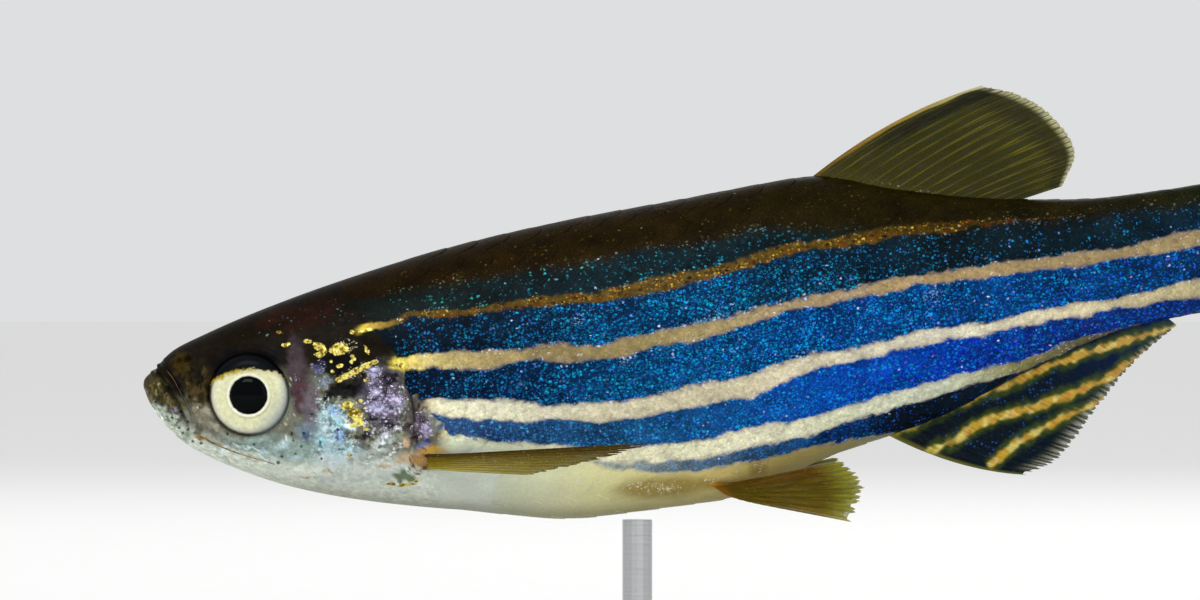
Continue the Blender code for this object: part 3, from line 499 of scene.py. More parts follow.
# zones of reflecting cells: hex, how densely they are lit, soft edge, ellipses as above
GLINT_ZONES = (
    ("#9AA8A0", .10, 1.0, (4.4, -2.6, 3.8, 1.5, -8)),
    ("#E8F4F4", .70, .8, (2.17, -2.20, .2, .08, -14), (2.9, -2.33, .40, .10, -14),
     (3.45, -2.72, .24, .08, -24), (1.62, -.92, .06, .06, 0)),
    ("#A8A8DC", .55, .8, (5.33, -.20, .14, .30, -20), (5.45, -.62, .16, .16, 0), (5.25, -1.1, .10, .3, 0),
     (4.62, -.4, .06, .08, 0)),
    ("#CCEAF2", .62, .8, (5.55, -1.75, .46, .66, 8), (5.6, -2.6, .66, .5, 0), (5.1, -2.6, .35, .5, 0)),
    ("#E0D8F6", .62, .8, (6.98, -.75, .26, .45, 0), (7.0, -1.5, .48, .44, 8), (7.5, -1.5, .36, .55, 0),
     (7.05, -2.3, .52, .34, 0), (8.20, -2.25, .24, .40, -15)),
    ("#F0E4A8", .50, .8, (6.25, -1.75, .36, .40, 0), (6.3, .3, .3, .2, 0), (6.5, -.4, .6, .14, 18),
     (7.45, -3.98, .5, .10, 5)),
    ("#F0F4F8", .80, .8, (7.52, -2.26, .20, .14, 20), (7.2, -2.98, .5, .10, 28),
     (6.5, -2.06, .16, .10, 20), (6.12, -2.56, .14, .10, 0), (5.2, -3.02, .16, .08, 0),
     (7.6, -1.75, .14, .12, 0)),
    ("#E4ECE0", .45, .8, (4.6, -3.3, .9, .2, -10), (6.6, -3.3, .7, .3, 0), (5.5, -3.66, .30, .06, 18)),
    ("#5C9AA0", .07, .8, (4.9, 1.3, 1.6, .3, 12), (6.4, 1.2, 1.0, .25, 5)),
)
# painted glints: spots on the flank where the cells are painted nearly white, as where they catch the light
PAINTED_GLINT_SPOTS = (
    (17.1, -.42, .42, .20, 10), (14.5, -1.15, .22, .14, 0), (19.6, -1.9, .26, .20, 20),
    (13.2, .2, .14, .12, 0), (23.9, -.5, .2, .16, 0),
)
# glitter low on the belly, in front of the pelvic fin
GLITTER = (
    (15.0, -5.14, .85, .20, -4), (14.3, -5.0, .4, .10, 0), (18.0, -4.97, .16, .14, 0),
    (16.4, -5.2, .3, .10, 0),
)


def inside(x, z, spots):
    """The nearest ellipse's measure at each point: 0 at its middle, 1 at its edge."""
    best = np.full(np.shape(x), 9.0)
    for cx, cz, long, high, turn in spots:
        c, s = math.cos(math.radians(turn)), math.sin(math.radians(turn))
        dx, dz = x - cx, z - cz
        best = np.minimum(best, np.hypot((dx * c + dz * s) / long, (dz * c - dx * s) / high))
    return best


def wander(x, y, z, cell, seed):
    """Smooth noise from -1 to 1 with bumps about as wide as cell, the same at the same place."""
    random = np.random.default_rng(seed)
    total = np.zeros(np.shape(x))
    for k in range(9):
        way = random.normal(size=3)
        way *= random.uniform(0.6, 1.7) * math.pi / cell / np.linalg.norm(way)
        total += np.sin(way[0] * x + way[1] * y + way[2] * z + random.uniform(0, math.tau)) / 3
    return np.clip(total, -1, 1)


def read_out(items, name):
    """One property of all points or faces of a mesh, as rows of three numbers."""
    values = np.empty(len(items) * 3)
    items.foreach_get(name, values)
    return values.reshape(-1, 3)


def give(mesh, name, values):
    """Stores one number, a vector of three or a colour of four with each point, under a name."""
    values = np.asarray(values, np.float32)
    kinds = {1: ("FLOAT", "value"), 3: ("FLOAT_VECTOR", "vector"), 4: ("FLOAT_COLOR", "color")}
    kind, part = kinds[values.size // len(mesh.vertices)]
    mesh.attributes.new(name, kind, "POINT").data.foreach_set(part, values.ravel())


def mark(piece):
    """Gives each point of a piece its place among the markings, as attributes."""
    mesh = piece.data
    at = (read_out(mesh.vertices, "co") - FISH_ORIGIN) * 1000
    c, s = math.cos(PITCH), math.sin(PITCH)
    x, y, z = at[:, 0] * c + at[:, 2] * s, at[:, 1], at[:, 2] * c - at[:, 0] * s
    # no line runs quite straight: each wavers by a few hundredths of a millimetre
    waver = 0.045 * wander(x, y, z, 1.3, 1) + 0.026 * wander(x, y, z, 0.45, 2)
    middles = [column(line, x) + waver * (-1) ** k for k, line in enumerate(PALE_LINES)]
    widths = [
        column(line, x, 2) * (1 + 0.24 * wander(x, y, z, 0.9, 3 + k)) for k, line in enumerate(PALE_LINES)
    ]
    belly_top, blue_top = column(BELLY_TOP, x) + waver, column(BLUE_TOP, x) + 2 * waver

    # each ground gives way to the next at the middle of the pale line between them
    dark, spark, dots = tones(x, DARK_TONES[0]), tones(x, SPARK_TONES[0]), column(SPARK_SHARES[0], x)
    for k, middle in enumerate(middles):
        below = ease(z, middle + 0.08, middle - 0.08)
        dark = blend(dark, tones(x, DARK_TONES[k + 1]), below)
        spark = blend(spark, tones(x, SPARK_TONES[k + 1]), below)
        dots = dots + (column(SPARK_SHARES[k + 1], x) - dots) * below
    # the bright cells crowd towards the lower edge of each dark ground
    for upper, lower in zip([blue_top] + middles, middles + [belly_top]):
        depth = np.clip((upper - z) / np.maximum(upper - lower, 0.2), 0, 1)
        dots = dots * np.where((z < upper) & (z >= lower), 0.68 + 0.55 * depth, 1.0)
    back = ease(z, blue_top - 0.15, blue_top + 0.20)
    dark = blend(dark, tones(x, BACK_TONE), back)
    spark = blend(spark, BACK_SPARK, ease(z, blue_top - 0.1, blue_top + 0.35))
    dots = np.where(z > blue_top, dots * ease(z, blue_top + 0.45, blue_top - 0.05) + 0.05, dots)
    dots = dots * ease(x, 7.0, 8.2) * (1 + 0.22 * wander(x, y, z, 1.1, 21))
    # painted glints: at these spots the cells turn nearly white and more of them shine
    painted_glint = ease(inside(x, z, PAINTED_GLINT_SPOTS), 1.5, 0.3)
    spark, dots = blend(spark, "#B4E0FF", 0.8 * painted_glint), dots * (1 + 0.4 * painted_glint)
    pale = tones(x, PALE_TONES[0])
    for k, middle in enumerate(middles[1:]):
        parting = (middle + middles[k]) / 2
        pale = blend(pale, tones(x, PALE_TONES[k + 1]), ease(z, parting + 0.1, parting - 0.1))
    under = smooth(BODY_STATIONS, x, 2)
    belly = blend(tones(x, BELLY_TONE), linear("#A8AC8C"), 0.4 * ease(z, under + 0.6, under + 0.05))
    belly = blend(belly, "#94803E", 0.85 * ease(inside(x, z, GLITTER), 2.2, 1.0))
    in_belly = ease(z, belly_top + 0.15, belly_top - 0.05)
    pale = blend(pale, belly, in_belly)

    # the head: a ground from dark crown to pale throat, then its patches, their edges uneven
    crown = column(((0, .1), (1, -.1), (2, .1), (3, .3), (5, .1), (7, -.2), (9, .5)), x)
    paint = np.broadcast_to(linear("#6E7060"), pale.shape)
    paint = blend(paint, "#181208", ease(z, crown - 0.9, crown + 0.1))
    throat = column(((0, -.45), (.5, -.85), (1, -1.5), (2, -2.2), (4, -2.9), (6, -3.3), (9, -3.4)), x)
    paint = blend(paint, "#DAE4D6", ease(z, throat + 0.5, throat - 0.2))
    paint = blend(paint, "#98A482", 0.5 * ease(z, under + 0.35, under) * ease(x, 2.5, 5))
    px = x + 0.06 * wander(x, y, z, 0.35, 11) + 0.05 * wander(x, y, z, 0.15, 12)
    pz = z + 0.06 * wander(x, y, z, 0.35, 13) + 0.05 * wander(x, y, z, 0.15, 14)
    for code, soft, *spots in HEAD_PATCHES:
        paint = blend(paint, code, 0.92 * ease(inside(px, pz, spots), 1 + soft / 2, 1 - soft / 2))
    on_head = ease(x, 8.7, 8.2)
    front_end = column(DARK_START, z) - x + 0.20 * wander(x, y, z, 0.35, 31)
    front_end = front_end + 0.22 * ease(z, -1.9, -2.3) * wander(x, y, z, 0.16, 32)
    in_line = ease(-front_end, 0.05, 0.35)
    for middle, width, start in zip(middles, widths, (6.6, 7.45, 8.3, 8.7)):
        across = ease(np.abs(z - middle), width / 2 + 0.05, width / 2 - 0.03)
        in_line = np.maximum(in_line, across * ease(x, start - 0.1, start + 0.2))
    pale = blend(paint, pale, in_line)

    gold = ease(inside(x + 0.02 * wander(x, y, z, 0.12, 15), z, GOLD_SPOTS), 1.75, 0.45)
    ink = ease(inside(x, z, INK_SPOTS), 1.5, 0.5)
    fade = ease(x, 9.0, 8.4)
    # cells of the head show most on the gill covers and the jaw, least on the bare cheek and throat
    on_cover = inside(x, z, ((6.7, -1.6, 1.5, 1.5, 0), (8.2, -2.3, .5, .8, 0)))
    on_jaw = inside(x, z, ((.6, -.6, .5, .9, 22), (1.5, -.2, .5, .6, 0)))
    mosaic = np.maximum(0.17 + 0.75 * ease(on_cover, 1.25, 0.75), 0.75 * ease(on_jaw, 1.2, 0.8))
    mosaic = np.maximum(mosaic * on_head, 0.24 * (1 - in_belly) * (1 - on_head))
    # how much fine grain the pale skin carries: least on the belly
    grit = 1.0 - 0.65 * in_belly
    # glints on pale ground: the head's zones, the belly's glitter, and frost along the flank's lines
    glow, lit = np.broadcast_to(linear("#E8E4EC"), pale.shape), 0.14 + 0.08 * ease(z, -1.5, -3.0) + 0 * x
    lit = lit * ease(x, 8.0, 8.6) * (1 - 0.75 * in_belly)
    for code, density, soft, *spots in GLINT_ZONES:
        share = ease(inside(px, pz, spots), 1 + soft / 2, 1 - soft / 2)
        glow, lit = blend(glow, code, share), np.maximum(lit, density * share)
    glitter = ease(inside(x, z, GLITTER), 1.3, 0.5)
    glow, lit = blend(glow, "#FFF8C8", glitter), np.maximum(lit, 1.1 * glitter)
    # gold flecks in the uppermost line
    pepper = ease(z, middles[0] - 0.5, middles[0] - 0.2) * ease(x, 7.6, 8.2)
    glow, lit = blend(glow, "#D0AC3C", pepper), np.maximum(lit, 0.34 * pepper)
    for name, values in (
        ("lines_above", np.column_stack([z - m for m in middles[:3]])),
        ("lines_below", np.column_stack((z - middles[3], belly_top - z, front_end))),
        ("half_widths", np.column_stack(widths[:3]) / 2),
        ("low_half_width", widths[3] / 2), ("gold", gold * fade), ("ink", ink * fade), ("dots", dots),
        ("lit", lit), ("pepper", pepper), ("on_head", on_head), ("mosaic", mosaic), ("grit", grit),
    ):
        give(mesh, name, values)
    for name, colours in (("pale", pale), ("dark", dark), ("spark", spark), ("glow", glow)):
        give(mesh, name, np.column_stack((colours, np.ones(len(x)))))


mark(skin)


def hex_colour(code):
    return (*linear(code), 1.0)


def feed(node, inputs):
    """Fills a node's inputs, each from a value, a hex code, or the node or socket that feeds it."""
    for key, value in inputs.items():
        if isinstance(value, bpy.types.Node):
            value = next(socket for socket in value.outputs if socket.enabled)
        if isinstance(value, bpy.types.NodeSocket):
            node.id_data.links.new(value, node.inputs[key])
        elif isinstance(value, str) and value.startswith("#"):
            node.inputs[key].default_value = hex_colour(value)
        else:
            node.inputs[key].default_value = value


def add(tree, kind, inputs=None, **settings):
    """Adds a node with its settings and feeds it; the kinds for shading go without ShaderNode."""
    made = tree.nodes.new(kind if "Node" in kind else "ShaderNode" + kind)
    for name, value in settings.items():
        setattr(made, name, value)
    feed(made, inputs or {})
    return made


def new_material(name, **sockets):
    """A material with one Principled shader, its even values set on the shader's own sockets."""
    made = bpy.data.materials.new(name)
    made.use_nodes = True
    tree = made.node_tree
    shader = tree.nodes["Principled BSDF"]
    feed(shader, {key.replace("_", " "): value for key, value in sockets.items()})
    return made, tree, shader


def fish_millimetres(tree):
    """Object coordinates turned to millimetres along the fish's own axis."""
    here = add(tree, "TexCoord").outputs["Object"]
    return add(tree, "Mapping", {
        "Vector": here, "Location": tuple(FISH_ORIGIN), "Rotation": (0, -PITCH, 0), "Scale": (.001,) * 3,
    }, vector_type="TEXTURE")


def skin_material(name, scaled):
    """Fish skin: pigment cells and reflecting crystal plates under clear mucus. The crystals give
    bright dots, 0.05-0.1 mm across as the real cells, and the mucus a faint even gloss."""
    made, tree, shader = new_material(name, IOR=1.36, Coat_Weight=0.0, Specular_IOR_Level=0.05)
    place = fish_millimetres(tree)
    read = {}
    for kind, labels in (
        ("Vector", ("lines_above", "lines_below", "half_widths")),
        ("Fac", ("low_half_width", "gold", "ink", "dots", "lit", "pepper", "on_head", "mosaic", "grit")),
        ("Color", ("pale", "dark", "spark", "glow")),
    ):
        for label in labels:
            read[label] = add(tree, "Attribute", attribute_name=label).outputs[kind]

    # distance inside the nearest pale marking, in millimetres, made ragged by cell-sized noise
    stretched = add(tree, "VectorMath", {0: place, 1: (0.6, 1, 1)}, operation="MULTIPLY")
    ragged = add(tree, "TexNoise", {"Vector": stretched, "Scale": 4.5, "Detail": 4.0, "Roughness": 0.62})
    away = add(tree, "VectorMath", {0: read["lines_above"]}, operation="ABSOLUTE")
    within = add(tree, "VectorMath", {0: read["half_widths"], 1: away}, operation="SUBTRACT")
    upper = add(tree, "SeparateXYZ", {0: within}).outputs
    lower = add(tree, "SeparateXYZ", {0: read["lines_below"]}).outputs
    low_away = add(tree, "Math", {0: lower[0]}, operation="ABSOLUTE")
    low_line = add(tree, "Math", {0: read["low_half_width"], 1: low_away}, operation="SUBTRACT")
    edge = upper[0]
    for other in (upper[1], upper[2], low_line, lower[1], lower[2]):
        edge = add(tree, "Math", {0: edge, 1: other}, operation="MAXIMUM")
    shift = add(tree, "Math", {0: ragged, 1: 0.5}, operation="SUBTRACT")
    edge = add(tree, "Math", {0: shift, 1: 0.30, 2: edge}, operation="MULTIPLY_ADD")
    is_pale = add(tree, "MapRange", {0: edge, 1: -0.055, 2: 0.055}, interpolation_type="SMOOTHSTEP")

    # ground between the cells: cloudy dark pigment, or pale skin with fine lengthways grain
    cloud = add(tree, "TexNoise", {"Vector": stretched, "Scale": 1.4, "Detail": 4.0, "Roughness": 0.6})
    cloud_by = add(tree, "MapRange", {0: cloud, 1: 0.3, 2: 0.7, 3: 0.45, 4: 1.45})
    dust = add(tree, "TexNoise", {"Vector": place, "Scale": 16.0, "Detail": 2.0, "Roughness": 0.7})
    dust_by = add(tree, "MapRange", {0: dust, 1: 0.35, 2: 0.65, 3: 0.62, 4: 1.38})
    cloud_by = add(tree, "Math", {0: cloud_by, 1: dust_by}, operation="MULTIPLY")
    ground = add(tree, "VectorMath", {0: read["dark"], "Scale": cloud_by}, operation="SCALE")
    grainy = add(tree, "VectorMath", {0: place, 1: (0.75, 1, 1)}, operation="MULTIPLY")
    grain = add(tree, "TexNoise", {"Vector": grainy, "Scale": 15.0, "Detail": 3.0, "Roughness": 0.7})
    grain_by = add(tree, "MapRange", {0: grain, 1: 0.34, 2: 0.66, 3: 0.80, 4: 1.14})
    frost_by = add(tree, "MapRange", {0: cloud, 1: 0.36, 2: 0.64, 3: 0.86, 4: 1.10})
    grain_by = add(tree, "Math", {0: grain_by, 1: frost_by}, operation="MULTIPLY")
    mottle = add(tree, "TexNoise", {"Vector": place, "Scale": 4.2, "Detail": 6.0, "Roughness": 0.74})
    mottle_by = add(tree, "MapRange", {0: mottle, 1: 0.32, 2: 0.68, 3: 0.56, 4: 1.34})
    blotchy = add(tree, "Math", {0: read["on_head"], 1: read["pepper"]}, operation="MAXIMUM")
    uneven_by = add(tree, "Mix", {0: blotchy, 2: grain_by, 3: mottle_by}, data_type="FLOAT")
    uneven_by = add(tree, "Mix", {0: read["grit"], 2: 1.0, 3: uneven_by}, data_type="FLOAT")
    light = add(tree, "VectorMath", {0: read["pale"], "Scale": uneven_by}, operation="SCALE")
    # black cells pepper the uppermost line, and a thin dusky border parts pale from dark
    peppers = add(tree, "TexVoronoi", {"Vector": stretched, "Scale": 8.0, "Randomness": 1.0})
    peppered = add(tree, "MapRange", {0: peppers, 1: 0.60, 2: 0.28}, interpolation_type="SMOOTHSTEP")
    peppered = add(tree, "Math", {0: peppered, 1: read["pepper"]}, operation="MULTIPLY")
    crowded = add(tree, "MapRange", {0: mottle, 1: 0.42, 2: 0.58})
    peppered = add(tree, "Math", {0: peppered, 1: crowded}, operation="MULTIPLY")
    light = add(tree, "Mix", {0: peppered, 6: light, 7: "#2A1204"}, data_type="RGBA")
    rusty = add(tree, "MapRange", {0: ragged, 1: 0.50, 2: 0.66, 3: 0.0, 4: 0.34})
    rusty = add(tree, "Math", {0: rusty, 1: read["pepper"]}, operation="MULTIPLY")
    light = add(tree, "Mix", {0: rusty, 6: light, 7: "#7A3E08"}, data_type="RGBA")
    plain = add(tree, "Math", {0: 1.0, 1: blotchy}, operation="SUBTRACT")
    border = add(tree, "MapRange", {0: edge, 1: 0.12, 2: 0.0, 3: 0.0, 4: 0.45})
    border = add(tree, "Math", {0: border, 1: plain}, operation="MULTIPLY")
    light = add(tree, "Mix", {0: border, 6: light, 7: "#6A6678"}, data_type="RGBA")

    # on the head each cell of about 0.12 mm is a little lighter, darker or bluer than the next
    warp = add(tree, "TexNoise", {"Vector": place, "Scale": 5.0, "Detail": 2.0}).outputs["Color"]
    warp = add(tree, "VectorMath", {0: warp, "Scale": 0.16}, operation="SCALE")
    warped = add(tree, "VectorMath", {0: place, 1: warp}, operation="ADD")
    tiles = add(tree, "TexVoronoi", {
        "Vector": warped, "Scale": 8.5, "Smoothness": 0.3,
    }, feature="SMOOTH_F1")
    tile = add(tree, "SeparateColor", {0: tiles.outputs["Color"]}).outputs
    spread = read["mosaic"]
    tile_value = add(tree, "MapRange", {0: tile[0], 3: -0.75, 4: 0.75})
    tile_value = add(tree, "Math", {0: tile_value, 1: spread, 2: 1.0}, operation="MULTIPLY_ADD")
    tile_hue = add(tree, "MapRange", {0: tile[1], 3: -0.045, 4: 0.045})
    tile_hue = add(tree, "Math", {0: tile_hue, 1: spread, 2: 0.5}, operation="MULTIPLY_ADD")
    light = add(tree, "HueSaturation", {"Hue": tile_hue, "Value": tile_value, "Color": light})
    colour = add(tree, "Mix", {0: is_pale, 6: ground, 7: light}, data_type="RGBA")

    # reflecting cells in two sizes; the share of cells that are lit follows the markings, and they
    # gather in clusters about half a millimetre wide
    cluster = add(tree, "TexNoise", {"Vector": place, "Scale": 1.7, "Detail": 3.0, "Roughness": 0.6})
    dots_by = add(tree, "MapRange", {0: cluster, 1: 0.36, 2: 0.62, 3: 0.50, 4: 1.25})
    lit_by = add(tree, "MapRange", {0: cluster, 1: 0.46, 2: 0.62, 3: 0.35, 4: 1.5})
    lit_by = add(tree, "Mix", {0: read["on_head"], 2: lit_by, 3: 1.0}, data_type="FLOAT")
    dark_share = add(tree, "Math", {0: read["dots"], 1: dots_by}, operation="MULTIPLY")
    pale_share = add(tree, "Math", {0: read["lit"], 1: lit_by}, operation="MULTIPLY")
    share_lit = add(tree, "Mix", {0: is_pale, 2: dark_share, 3: pale_share}, data_type="FLOAT")
    shine_tone = add(tree, "Mix", {0: is_pale, 6: read["spark"], 7: read["glow"]}, data_type="RGBA")
    long_cells = add(tree, "VectorMath", {0: warped, 1: (0.8, 1, 1)}, operation="MULTIPLY")
    bright = 0.0
    for scale, strength in ((11.5, 1.0), (19.0, 0.8)):
        cells = add(tree, "TexVoronoi", {"Vector": long_cells, "Scale": scale, "Randomness": 1.0})
        chance = add(tree, "SeparateColor", {0: cells.outputs["Color"]}).outputs
        unlit = add(tree, "Math", {0: share_lit, 1: chance[0]}, operation="SUBTRACT")
        chosen = add(tree, "MapRange", {0: unlit, 1: 0.0, 2: 0.09})
        dot = add(tree, "MapRange", {0: cells, 1: 0.60, 2: 0.18}, interpolation_type="SMOOTHSTEP")
        level = add(tree, "Math", {0: chance[1], 1: 1.3}, operation="POWER")
        level = add(tree, "MapRange", {0: level, 3: 0.12 * strength, 4: strength})
        one = add(tree, "Math", {0: chosen, 1: dot}, operation="MULTIPLY")
        one = add(tree, "Math", {0: one, 1: level}, operation="MULTIPLY")
        bright = add(tree, "Math", {0: bright, 1: one}, operation="MAXIMUM")
        if strength == 1.0:
            white_chance = add(tree, "Math", {0: chance[2], 1: 26.0}, operation="POWER")
            whitest = add(tree, "Math", {0: white_chance, 1: dot}, operation="MULTIPLY")
            cell_hue = add(tree, "MapRange", {0: chance[2], 3: 0.455, 4: 0.53})
    shine_tone = add(tree, "HueSaturation", {"Hue": cell_hue, "Color": shine_tone})
    shine = add(tree, "Mix", {0: whitest, 6: shine_tone, 7: "#E8F6FF"}, data_type="RGBA")
    colour = add(tree, "Mix", {0: bright, 6: colour, 7: shine}, data_type="RGBA")

    # clusters on the head: black cells and gold plates
    fleck = add(tree, "TexNoise", {"Vector": place, "Scale": 9.0, "Detail": 3.0, "Roughness": 0.6})
    off_even = add(tree, "Math", {0: fleck, 1: 0.5}, operation="SUBTRACT")
    inked = add(tree, "Math", {0: off_even, 1: 0.5, 2: read["ink"]}, operation="MULTIPLY_ADD")
    inked = add(tree, "MapRange", {0: inked, 1: 0.30, 2: 0.75, 3: 0.0, 4: 0.82})
    colour = add(tree, "Mix", {0: inked, 6: colour, 7: "#0C0E12"}, data_type="RGBA")
    gold_at = add(tree, "Math", {0: off_even, 1: 0.7, 2: read["gold"]}, operation="MULTIPLY_ADD")
    gilded = add(tree, "MapRange", {0: gold_at, 1: 0.30, 2: 0.52})
    plate = add(tree, "Math", {0: off_even, 1: 3.6, 2: tile[2]}, operation="MULTIPLY_ADD")
    gold_level = add(tree, "MapRange", {0: plate, 1: 0.05, 2: 1.05})
    gold = add(tree, "Mix", {0: gold_level, 6: "#6E560C", 7: "#F2E67E"}, data_type="RGBA")
    colour = add(tree, "Mix", {0: gilded, 6: colour, 7: gold}, data_type="RGBA")
    if scaled:
        # each scale is a little darker along its free edge
        margin = add(tree, "Attribute", attribute_name="margin").outputs["Fac"]
        margin = add(tree, "Math", {0: margin, 1: read["grit"]}, operation="MULTIPLY")
        margin_by = add(tree, "MapRange", {0: margin, 1: 0.5, 2: 1.0, 3: 1.0, 4: 0.88})
        colour = add(tree, "VectorMath", {0: colour, "Scale": margin_by}, operation="SCALE")

    reflecting = add(tree, "Math", {0: bright, 1: gilded}, operation="MAXIMUM")
    metal = add(tree, "Math", {0: reflecting, 1: 0.25}, operation="MULTIPLY")
    wetness = add(tree, "MapRange", {0: ragged, 1: 0.3, 2: 0.7, 3: 0.34, 4: 0.48})
    pores = add(tree, "TexNoise", {"Vector": place, "Scale": 14.0, "Detail": 3.0})
    relief = add(tree, "Math", {0: reflecting, 1: 0.6, 2: pores}, operation="MULTIPLY_ADD")
    bump = add(tree, "Bump", {"Height": relief, "Strength": 0.35, "Distance": 0.000015})
    feed(shader, {"Base Color": colour, "Metallic": metal, "Roughness": wetness, "Normal": bump})
    return made


wet_skin = skin_material("wet_fish_skin", scaled=False)
skin.data.materials.append(wet_skin)
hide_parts("head", "jaw_lower", "gill_cover_left", "gill_cover_right", "trunk", "tail")
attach(skin, "root")

# Gill covers. A thin bony plate under skin on each side of the head, hinged in front and free
# behind, where its rounded edge stands a little off the shoulder. Its front runs into the cheek.

COVER_FRONT = (
    (5.75, 0.62), (5.30, -0.20), (5.22, -1.20), (5.15, -2.10), (4.80, -2.90), (4.20, -3.45), (3.9, -3.62),
)
# along the plate from the cheek to its free edge: share of the way, stand off the skin
COVER_PROFILE = (
    (0, -.09), (.03, -.03), (.08, .015), (.16, .025), (.24, .010), (.36, .022), (.50, .034), (.64, .036),
    (.78, .034), (.88, .030), (.94, .024), (.975, .016), (.995, .004), (1.0, -.012), (.99, -.03),
    (.95, -.05), (.86, -.07),
)
COVER_STEPS, COVER_ROWS = 71, 111  # points from the cheek to the free edge, and from above to below


def skin_at(x, z):
    """Points of the plain body's right side, and the way it faces there."""
    x, z = np.asarray(x, float), np.asarray(z, float)
    lean_x = (half_width(x + 0.02, z) - half_width(x - 0.02, z)) / 0.04
    lean_z = (half_width(x, z + 0.02) - half_width(x, z - 0.02)) / 0.04
    out = np.stack((-lean_x, np.ones_like(lean_x), -lean_z), -1)
    return np.stack((x, half_width(x, z), z), -1), out / np.linalg.norm(out, axis=-1, keepdims=True)


SIDES = ((-1, "left"), (1, "right"))


def side_of(points, side):
    """The same points on the left (-1) or right (1) of the fish."""
    return np.asarray(points) * (1, side, 1)


for side, word in SIDES:
    steps, stops = np.linspace(0, 1, COVER_STEPS), np.linspace(0, 1, len(COVER_PROFILE))
    across, lift = (np.interp(steps, stops, values) for values in zip(*COVER_PROFILE))
    down = np.linspace(0.02, 0.84, COVER_ROWS)
    front, rear = along(COVER_FRONT, down), along(GILL_EDGE, down)
    plate = front[None] + (rear - front)[None] * across[:, None, None]
    point, out = skin_at(plate[..., 0], plate[..., 1])
    # the plate dies away at its two ends and carries a few low growth ridges round its hinge
    ends = ease(down, 0.02, 0.10) * ease(down, 0.82, 0.62)
    hinge = np.hypot(plate[..., 0] - 5.7, plate[..., 1] - 0.1)
    ridges = 0.006 * np.sin(hinge * 9.0)
    ridges = ridges * ease(across, 0.1, 0.3)[:, None] * ease(across, 0.95, 0.8)[:, None]
    cover = point + out * ((lift[:, None] + 0.09) * ends[None] - 0.09 + ridges)[..., None]
    cover = side_of(cover.reshape(-1, 3), side)
    flap = new_piece("gill_cover_skin_" + word, cover, quads(COVER_STEPS, COVER_ROWS), 80)
    if flap.data.polygons[len(flap.data.polygons) // 2].normal.y * side < 0:
        flap.data.flip_normals()
    mark(flap)
    flap.data.materials.append(wet_skin)
    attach(flap, "root")

# Eyes. Each is a turned dome as in a glass eye: a clear black lens behind a bright pupil ring, a
# pearly iris of reflecting cells, and a dark cap of pigment over the top. It sits in its socket.

EYE_FRONT = 1.86  # from the mid plane to the front of the cornea
EYE_YAW = math.radians(5)  # each eye looks a little forward
# turned profile: radius, depth behind the middle of the cornea
EYE_PROFILE = (
    (0, .02), (.18, .016), (.34, .0), (.46, -.03), (.525, -.065), (.55, -.10), (.56, -.125), (.575, -.10),
    (.60, -.075), (.64, -.07), (.675, -.085), (.70, -.115), (.74, -.12), (.82, -.115), (.92, -.13),
    (1.02, -.165), (1.10, -.215), (1.16, -.275), (1.20, -.345), (1.225, -.42), (1.235, -.55),
    (1.22, -.75), (1.10, -.98), (.7, -1.15), (0, -1.22),
)
EYE_SIDES = 128

# the pupil is black and glassy with one sharp highlight, the iris is satin
iris, tree, shader = new_material(
    "glass_eye_with_pearly_iris", IOR=1.45, Coat_Weight=0.02, Specular_IOR_Level=0.05,
)
disc = add(tree, "Attribute", attribute_name="disc").outputs["Vector"]
flat = add(tree, "SeparateXYZ", {0: disc}).outputs
level = add(tree, "VectorMath", {0: disc, 1: (1, 1, 0)}, operation="MULTIPLY")
cells = add(tree, "TexNoise", {"Vector": level, "Scale": 6.0, "Detail": 5.0, "Roughness": 0.62})
# fine fibres run out from the pupil: noise read round the eye, drawn about 0.05 mm wide
unit = add(tree, "VectorMath", {0: level}, operation="NORMALIZE")
spokes = add(tree, "TexNoise", {"Vector": unit, "Scale": 16.0, "Detail": 3.0, "Roughness": 0.7})
off_even = add(tree, "Math", {0: cells, 1: 0.5}, operation="SUBTRACT")
wobble = add(tree, "Math", {0: off_even, 1: 0.07, 2: flat[2]}, operation="MULTIPLY_ADD")
IRIS_REACH = 1.25
# tones of the iris by distance from the eye's middle, up to IRIS_REACH
IRIS_TONES = (
    (.0, "#020304"), (.548, "#030406"), (.562, "#5A5C50"), (.580, "#E4E4D4"), (.61, "#EEEEDA"),
    (.66, "#D8D8B2"), (.80, "#D2D2AA"), (.95, "#DADAB6"), (1.06, "#D0D2B4"), (1.12, "#B4B6A8"),
    (1.15, "#7A7662"), (1.175, "#30261A"), (1.20, "#4A463A"), (1.22, "#100C08"),
)
ring_at = add(tree, "Math", {0: wobble, 1: IRIS_REACH}, operation="DIVIDE")
rings_tone = add(tree, "ValToRGB", {0: ring_at})
ramp = rings_tone.color_ramp
while len(ramp.elements) < len(IRIS_TONES):
    ramp.elements.new(0.5)
for element, (place, code) in zip(ramp.elements, IRIS_TONES):
    element.position, element.color = place / IRIS_REACH, hex_colour(code)
fibre_by = add(tree, "MapRange", {0: spokes, 1: 0.3, 2: 0.7, 3: 0.95, 4: 1.04})
mottle_by = add(tree, "MapRange", {0: cells, 1: 0.32, 2: 0.68, 3: 0.82, 4: 1.12})
pearly = add(tree, "VectorMath", {0: rings_tone, "Scale": fibre_by}, operation="SCALE")
pearly = add(tree, "VectorMath", {0: pearly, "Scale": mottle_by}, operation="SCALE")
# painted shade: the rim is darkened to blue grey low at the back, where the iris curves away from the light
lean = add(tree, "VectorMath", {0: level, 1: (0.75, -0.6, 0)}, operation="DOT_PRODUCT")
rim_painted_shade = add(tree, "MapRange", {0: lean, 1: 0.55, 2: 1.15, 3: 0.0, 4: 0.65})
pearly = add(tree, "Mix", {0: rim_painted_shade, 6: pearly, 7: "#7E8E98"}, data_type="RGBA")
